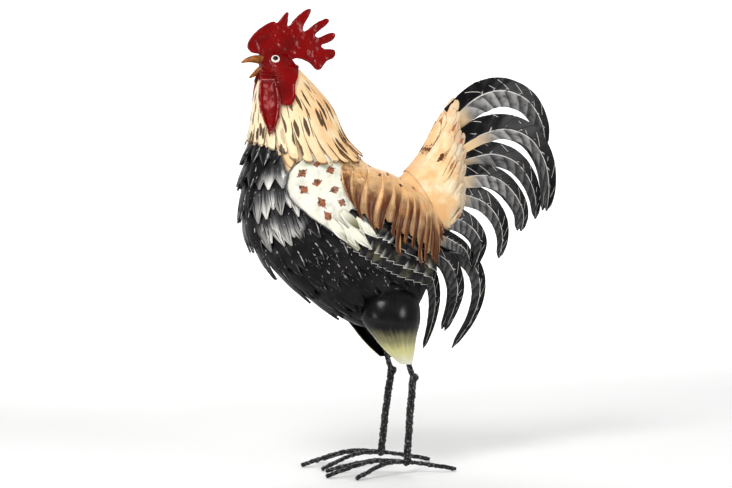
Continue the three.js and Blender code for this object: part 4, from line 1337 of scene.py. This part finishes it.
def thigh_shell(sizes, knee):
    def shape(copy, u, v, w):
        station = 0.05 + (thigh.last - 0.05) * np.clip((v - 0.2) / 0.8, 0, 1)
        turn = np.pi / 2 * np.clip(v / 0.2, 0, 1)
        close = np.sin(turn)[..., None]
        angle = 180 * u
        middle = thigh.middle(station)
        spot = middle + (thigh.raised(station, angle, w - mm(sizes.cover)) - middle) * np.maximum(close, 0.03)
        spot[..., 2] += THIGH_DOME * np.cos(turn)
        down = np.broadcast_to(v, spot[..., 1].shape)
        spot[..., 1] -= THIGH_PLANE[0] + (THIGH_PLANE[1] - THIGH_PLANE[0]) * down
        spot[..., 0] += knee - KNEE_LEFT
        return spot

    return lay("thigh", Blank(40, 60, mm(sizes.cover)), shape)


def rod(points, radius, beads=0.08):
    """A round rod along a line, uneven from its weld beads."""
    line = Line(points)
    length = np.linalg.norm(np.diff(line.places, axis=0), axis=1).sum()

    def shape(u, v):
        t, close = capped(v)
        along = line.along(t)
        side = np.cross(along, (0, 1, 0.02))
        side /= np.linalg.norm(side, axis=1, keepdims=True)
        other = np.cross(along, side)
        turn = 2 * np.pi * u
        size = radius * close * (1 + beads * np.sin(t * length * 1.25 + 1.5 * np.sin(turn)))
        out = side * (size * np.cos(turn))[:, None] + other * (size * np.sin(turn))[:, None]
        return line.at(t) + out

    return closed_skin("rod", 20, max(24, int(length / 1.6)), shape)


def bead_lump(x, y, z, radius):
    def shape(u, v):
        turn, tilt = 2 * np.pi * u, np.pi * v
        spots = [x + radius * np.sin(tilt) * np.cos(turn), y + radius * np.sin(tilt) * np.sin(turn)]
        return np.column_stack([*spots, z + radius * np.cos(tilt)])

    return closed_skin("lump", 24, 18, shape)


def leg(name, sizes, knee):
    side, height = -LEG_SIDE, KNEE_HEIGHT
    shank, upper, toe = mm(sizes.shank_rod), mm(sizes.upper_rod), mm(sizes.toe_rod)
    parts = [
        rod([ANKLE, (knee * 0.45, side, 70), (knee, side, height)], shank),
        rod([(knee, side, height), (knee - 4.5, side, height + 13), (knee - 11.5, side, height + 45)], upper),
        bead_lump(knee + 2, side, height - 1, KNEE_LUMP),
        bead_lump(0, side, ANKLE[2], KNEE_LUMP),
    ]
    for tip_x, tip_side, arch in TOES:
        bend = (tip_x * 0.42, side + (-tip_side - side) * 0.4, arch)
        parts.append(rod([ANKLE, bend, (tip_x, -tip_side, toe + 0.3)], toe, 0.04))
    piece = joined(name, parts)
    melted(piece, 2, "VORONOI", 5, 0.45)
    spots = corners(piece)
    spots[:, 2] = np.maximum(spots[:, 2], 0)
    piece.data.vertices.foreach_set("co", spots.ravel())
    piece.data.update()
    finish_mesh(piece, 60)
    return piece


# ------------------------------------------------------------------ operators
class ROOSTER_OT_stage(bpy.types.Operator):
    """Set out the pale floor, the studio light and the camera"""

    bl_idname = "rooster.stage"
    bl_label = "Stage"

    def execute(self, context):
        clear_selection()
        bpy.ops.mesh.primitive_plane_add(size=1, location=FLOOR_MIDDLE)
        floor = context.object
        floor.name = floor.data.name = "studio_floor"
        floor.scale = FLOOR_SIZE
        bpy.ops.object.transform_apply(location=True, rotation=False, scale=True)
        bpy.ops.object.mode_set(mode="EDIT")
        bpy.ops.mesh.select_mode(type="EDGE")
        bpy.ops.mesh.select_all(action="DESELECT")
        bpy.ops.object.mode_set(mode="OBJECT")
        for edge in floor.data.edges:
            edge.select = all(floor.data.vertices[k].co.y > WALL_FROM for k in edge.vertices)
        bpy.ops.object.mode_set(mode="EDIT")
        bpy.ops.mesh.extrude_region_move(TRANSFORM_OT_translate={"value": (0, 0, WALL_HEIGHT)})
        bpy.ops.object.mode_set(mode="OBJECT")
        for edge in floor.data.edges:
            ends = [floor.data.vertices[k].co for k in edge.vertices]
            edge.select = all(end.y > WALL_FROM and end.z < 0.1 for end in ends)
        bpy.ops.object.mode_set(mode="EDIT")
        bpy.ops.mesh.bevel(offset=WALL_BEND, segments=24, profile=0.5)
        bpy.ops.mesh.normals_make_consistent(inside=True)
        bpy.ops.object.mode_set(mode="OBJECT")
        finish_mesh(floor, 60)
        floor.data.materials.append(floor_paint())
        for name, place, size, power in LIGHTS:
            bpy.ops.object.light_add(type="AREA", location=place)
            light = context.object
            light.name = name
            light.data.shape = "DISK"
            light.data.size = size
            light.data.energy = power
            light.rotation_euler = (LIGHT_AIM - Vector(place)).to_track_quat("-Z", "Y").to_euler()
        world = bpy.data.worlds.new("studio air")
        world.use_nodes = True
        air = world.node_tree.nodes["Background"].inputs
        air["Color"].default_value = (1, 1, 1, 1)
        air["Strength"].default_value = AIR_STRENGTH
        context.scene.world = world
        context.scene.view_settings.view_transform = "Standard"
        turn, tilt = math.radians(CAMERA_TURN), math.radians(CAMERA_TILT)
        back = Vector((math.sin(turn) * math.cos(tilt), -math.cos(turn) * math.cos(tilt), math.sin(tilt)))
        bpy.ops.object.camera_add(location=CAMERA_AIM + back * CAMERA_FAR)
        camera = context.object
        camera.name = "studio camera"
        camera.rotation_euler = (-back).to_track_quat("-Z", "Y").to_euler()
        camera.data.lens = CAMERA_LENS
        camera.data.sensor_width = CAMERA_SENSOR
        context.scene.camera = camera
        return {"FINISHED"}


class ROOSTER_OT_body(bpy.types.Operator):
    """Build the closed head, neck, breast and belly form"""

    bl_idname = "rooster.body"
    bl_label = "Body"

    def execute(self, context):
        _, look = tools()
        dress(skin_form("body_shell", body, body.last, 96, 90), body_paint(look), "body", "body")
        return {"FINISHED"}


class ROOSTER_OT_breast(bpy.types.Operator):
    """Wrap the rows of pointed feathers round the breast and belly"""

    bl_idname = "rooster.breast"
    bl_label = "Breast feathers"

    def execute(self, context):
        sizes, look = tools()
        paint = breast_paint(look)
        for row in range(1, len(BREAST_TIPS)):
            dress(breast_row(row, sizes), paint, "breast", f"breast_row_{row}")
        return {"FINISHED"}


class ROOSTER_OT_neck(bpy.types.Operator):
    """Lay the neck cover with its fringe of fingers"""

    bl_idname = "rooster.neck"
    bl_label = "Neck cover"

    def execute(self, context):
        sizes, look = tools()
        dress(neck_cover(sizes, look), hackle_paint(look), "hackle", "hackle_cape")
        return {"FINISHED"}


class ROOSTER_OT_head(bpy.types.Operator):
    """Build the comb, the cheek masks, the wattles, the beak and the eyes"""

    bl_idname = "rooster.head"
    bl_label = "Head"

    def execute(self, context):
        sizes, look = tools()
        red, ochre = red_paint(look), horn_paint(look)
        dress(comb_plate(sizes), red, "red", "comb")
        dress_pair(cheek_mask(sizes), red, "red", "face")
        dress_pair(wattle(sizes), red_paint(look, leaf=True), "red", "wattle", shift=(8, 5.5, 0))
        upper = horn(
            "beak_upper_horn", [(-176, 540), (-192, 542), (-203, 540), (-209.5, 537)],
            [(6.5, 9), (4.8, 6.2), (2.7, 3.2), (0.9, 0.9)],
        )
        lower = horn(
            "beak_lower_horn", [(-177, 533), (-188, 525.5), (-194, 521), (-199, 517.5)],
            [(5.6, 8), (3.8, 5.4), (2.5, 3.0), (0.9, 0.9)],
        )
        dress(upper, ochre, "horn", "beak_upper")
        dress(lower, ochre, "horn", "beak_lower")
        dress_pair(eye_stud(sizes), eye_paint(look), "eye", "eye")
        return {"FINISHED"}


class ROOSTER_OT_wings(bpy.types.Operator):
    """Build the shoulder sheets and the three toothed blades of each wing"""

    bl_idname = "rooster.wings"
    bl_label = "Wings"

    def execute(self, context):
        sizes, look = tools()
        dress_pair(shoulder(sizes), panel_paint(look), "panel", "wing_shoulder")
        blades = wing_paint(look)
        for k, (upper, lower) in enumerate(WING_BLADES, 1):

            def lift(u, v):
                return 2 + 4.5 * v + 1.2 * np.sin(np.pi * np.clip(v * 1.2, 0, 1)) * rise(u, 0, 0.1)

            blank = Blank(140, 12, mm(sizes.cover))
            tone = 1.15 - 0.35 * k  # the blades get darker downwards
            blade = side_sheet("wing_blade", blank, upper, lower, lift, look.wing_teeth, WING_NOTCH, tone)
            dress_pair(blade, blades, "wing", "wing_blade", f"_{k}")
        coverts = wing_coverts(sizes)
        coverts.name = "wing_covert_metal_left"
        paint = covert_paint(look)
        dress(other_side(coverts, "wing_covert_metal_right"), paint, "panel")
        dress(coverts, paint, "panel")
        return {"FINISHED"}


class ROOSTER_OT_saddle(bpy.types.Operator):
    """Lay the saddle with its hanging fingers"""

    bl_idname = "rooster.saddle"
    bl_label = "Saddle"

    def execute(self, context):
        sizes, look = tools()
        dress_pair(saddle_cover(sizes, look), saddle_paint(look), "saddle", "saddle")
        return {"FINISHED"}


class ROOSTER_OT_tail(bpy.types.Operator):
    """Build the tail base, its covers and the two fans of folded blades"""

    bl_idname = "rooster.tail"
    bl_label = "Tail"

    def execute(self, context):
        sizes, look = tools()
        cover = tail_paint(look)
        dress(skin_form("tail_wedge", tail, TAIL_WEDGE_END, 72, 60), cover, "tail", "tail_base")
        dress_pair(tail_coverts(sizes), cover, "tail", "tail_cover")
        paints = [blade_paint(look, *kind) for kind in BLADE_PAINTS]
        shift = (FAN_SET_BACK, 0, 0)
        for number, kind in enumerate(BLADE_KINDS, 1):
            dress_pair(tail_blade(number, sizes), paints[kind], "sickle", "sickle", f"_{number}", shift)
        return {"FINISHED"}


class ROOSTER_OT_legs(bpy.types.Operator):
    """Build the half-shell thighs and the welded rod legs"""

    bl_idname = "rooster.legs"
    bl_label = "Legs"

    def execute(self, context):
        sizes, look = tools()
        shift = (KNEE_RIGHT - KNEE_LEFT, 0, 0)
        dress_pair(thigh_shell(sizes, KNEE_LEFT), thigh_paint(look), "thigh", "thigh", shift=shift)
        paint = rod_paint(look)
        dress(leg("leg_rods_left", sizes, KNEE_LEFT), paint, "rod", "leg_left")
        dress(mirrored(leg("leg_rods_right", sizes, KNEE_RIGHT)), paint, "rod", "leg_right")
        return {"FINISHED"}


class ROOSTER_PT_pieces(bpy.types.Panel):
    """Sizes and colours of the rooster and the steps that build it"""

    bl_label = "Rooster"
    bl_idname = "ROOSTER_PT_pieces"
    bl_space_type = "VIEW_3D"
    bl_region_type = "UI"
    bl_category = "Rooster"

    def draw(self, context):
        for step in STEPS:
            self.layout.operator(step.bl_idname)
        for group in tools():
            box = self.layout.box()
            for name in group.__annotations__:
                box.prop(group, name)


STEPS = (
    ROOSTER_OT_stage,
    ROOSTER_OT_body,
    ROOSTER_OT_breast,
    ROOSTER_OT_neck,
    ROOSTER_OT_head,
    ROOSTER_OT_wings,
    ROOSTER_OT_saddle,
    ROOSTER_OT_tail,
    ROOSTER_OT_legs,
)
CLASSES = (RoosterSizes, RoosterLook, *STEPS, ROOSTER_PT_pieces)


def register():
    for made in CLASSES:
        bpy.utils.register_class(made)
    bpy.types.Scene.rooster_sizes = bpy.props.PointerProperty(type=RoosterSizes)
    bpy.types.Scene.rooster_look = bpy.props.PointerProperty(type=RoosterLook)


def unregister():
    del bpy.types.Scene.rooster_look
    del bpy.types.Scene.rooster_sizes
    for made in reversed(CLASSES):
        bpy.utils.unregister_class(made)


def main():
    register()
    for step in STEPS:
        area, name = step.bl_idname.split(".")
        getattr(getattr(bpy.ops, area), name)()


if __name__ == "__main__":
    main()
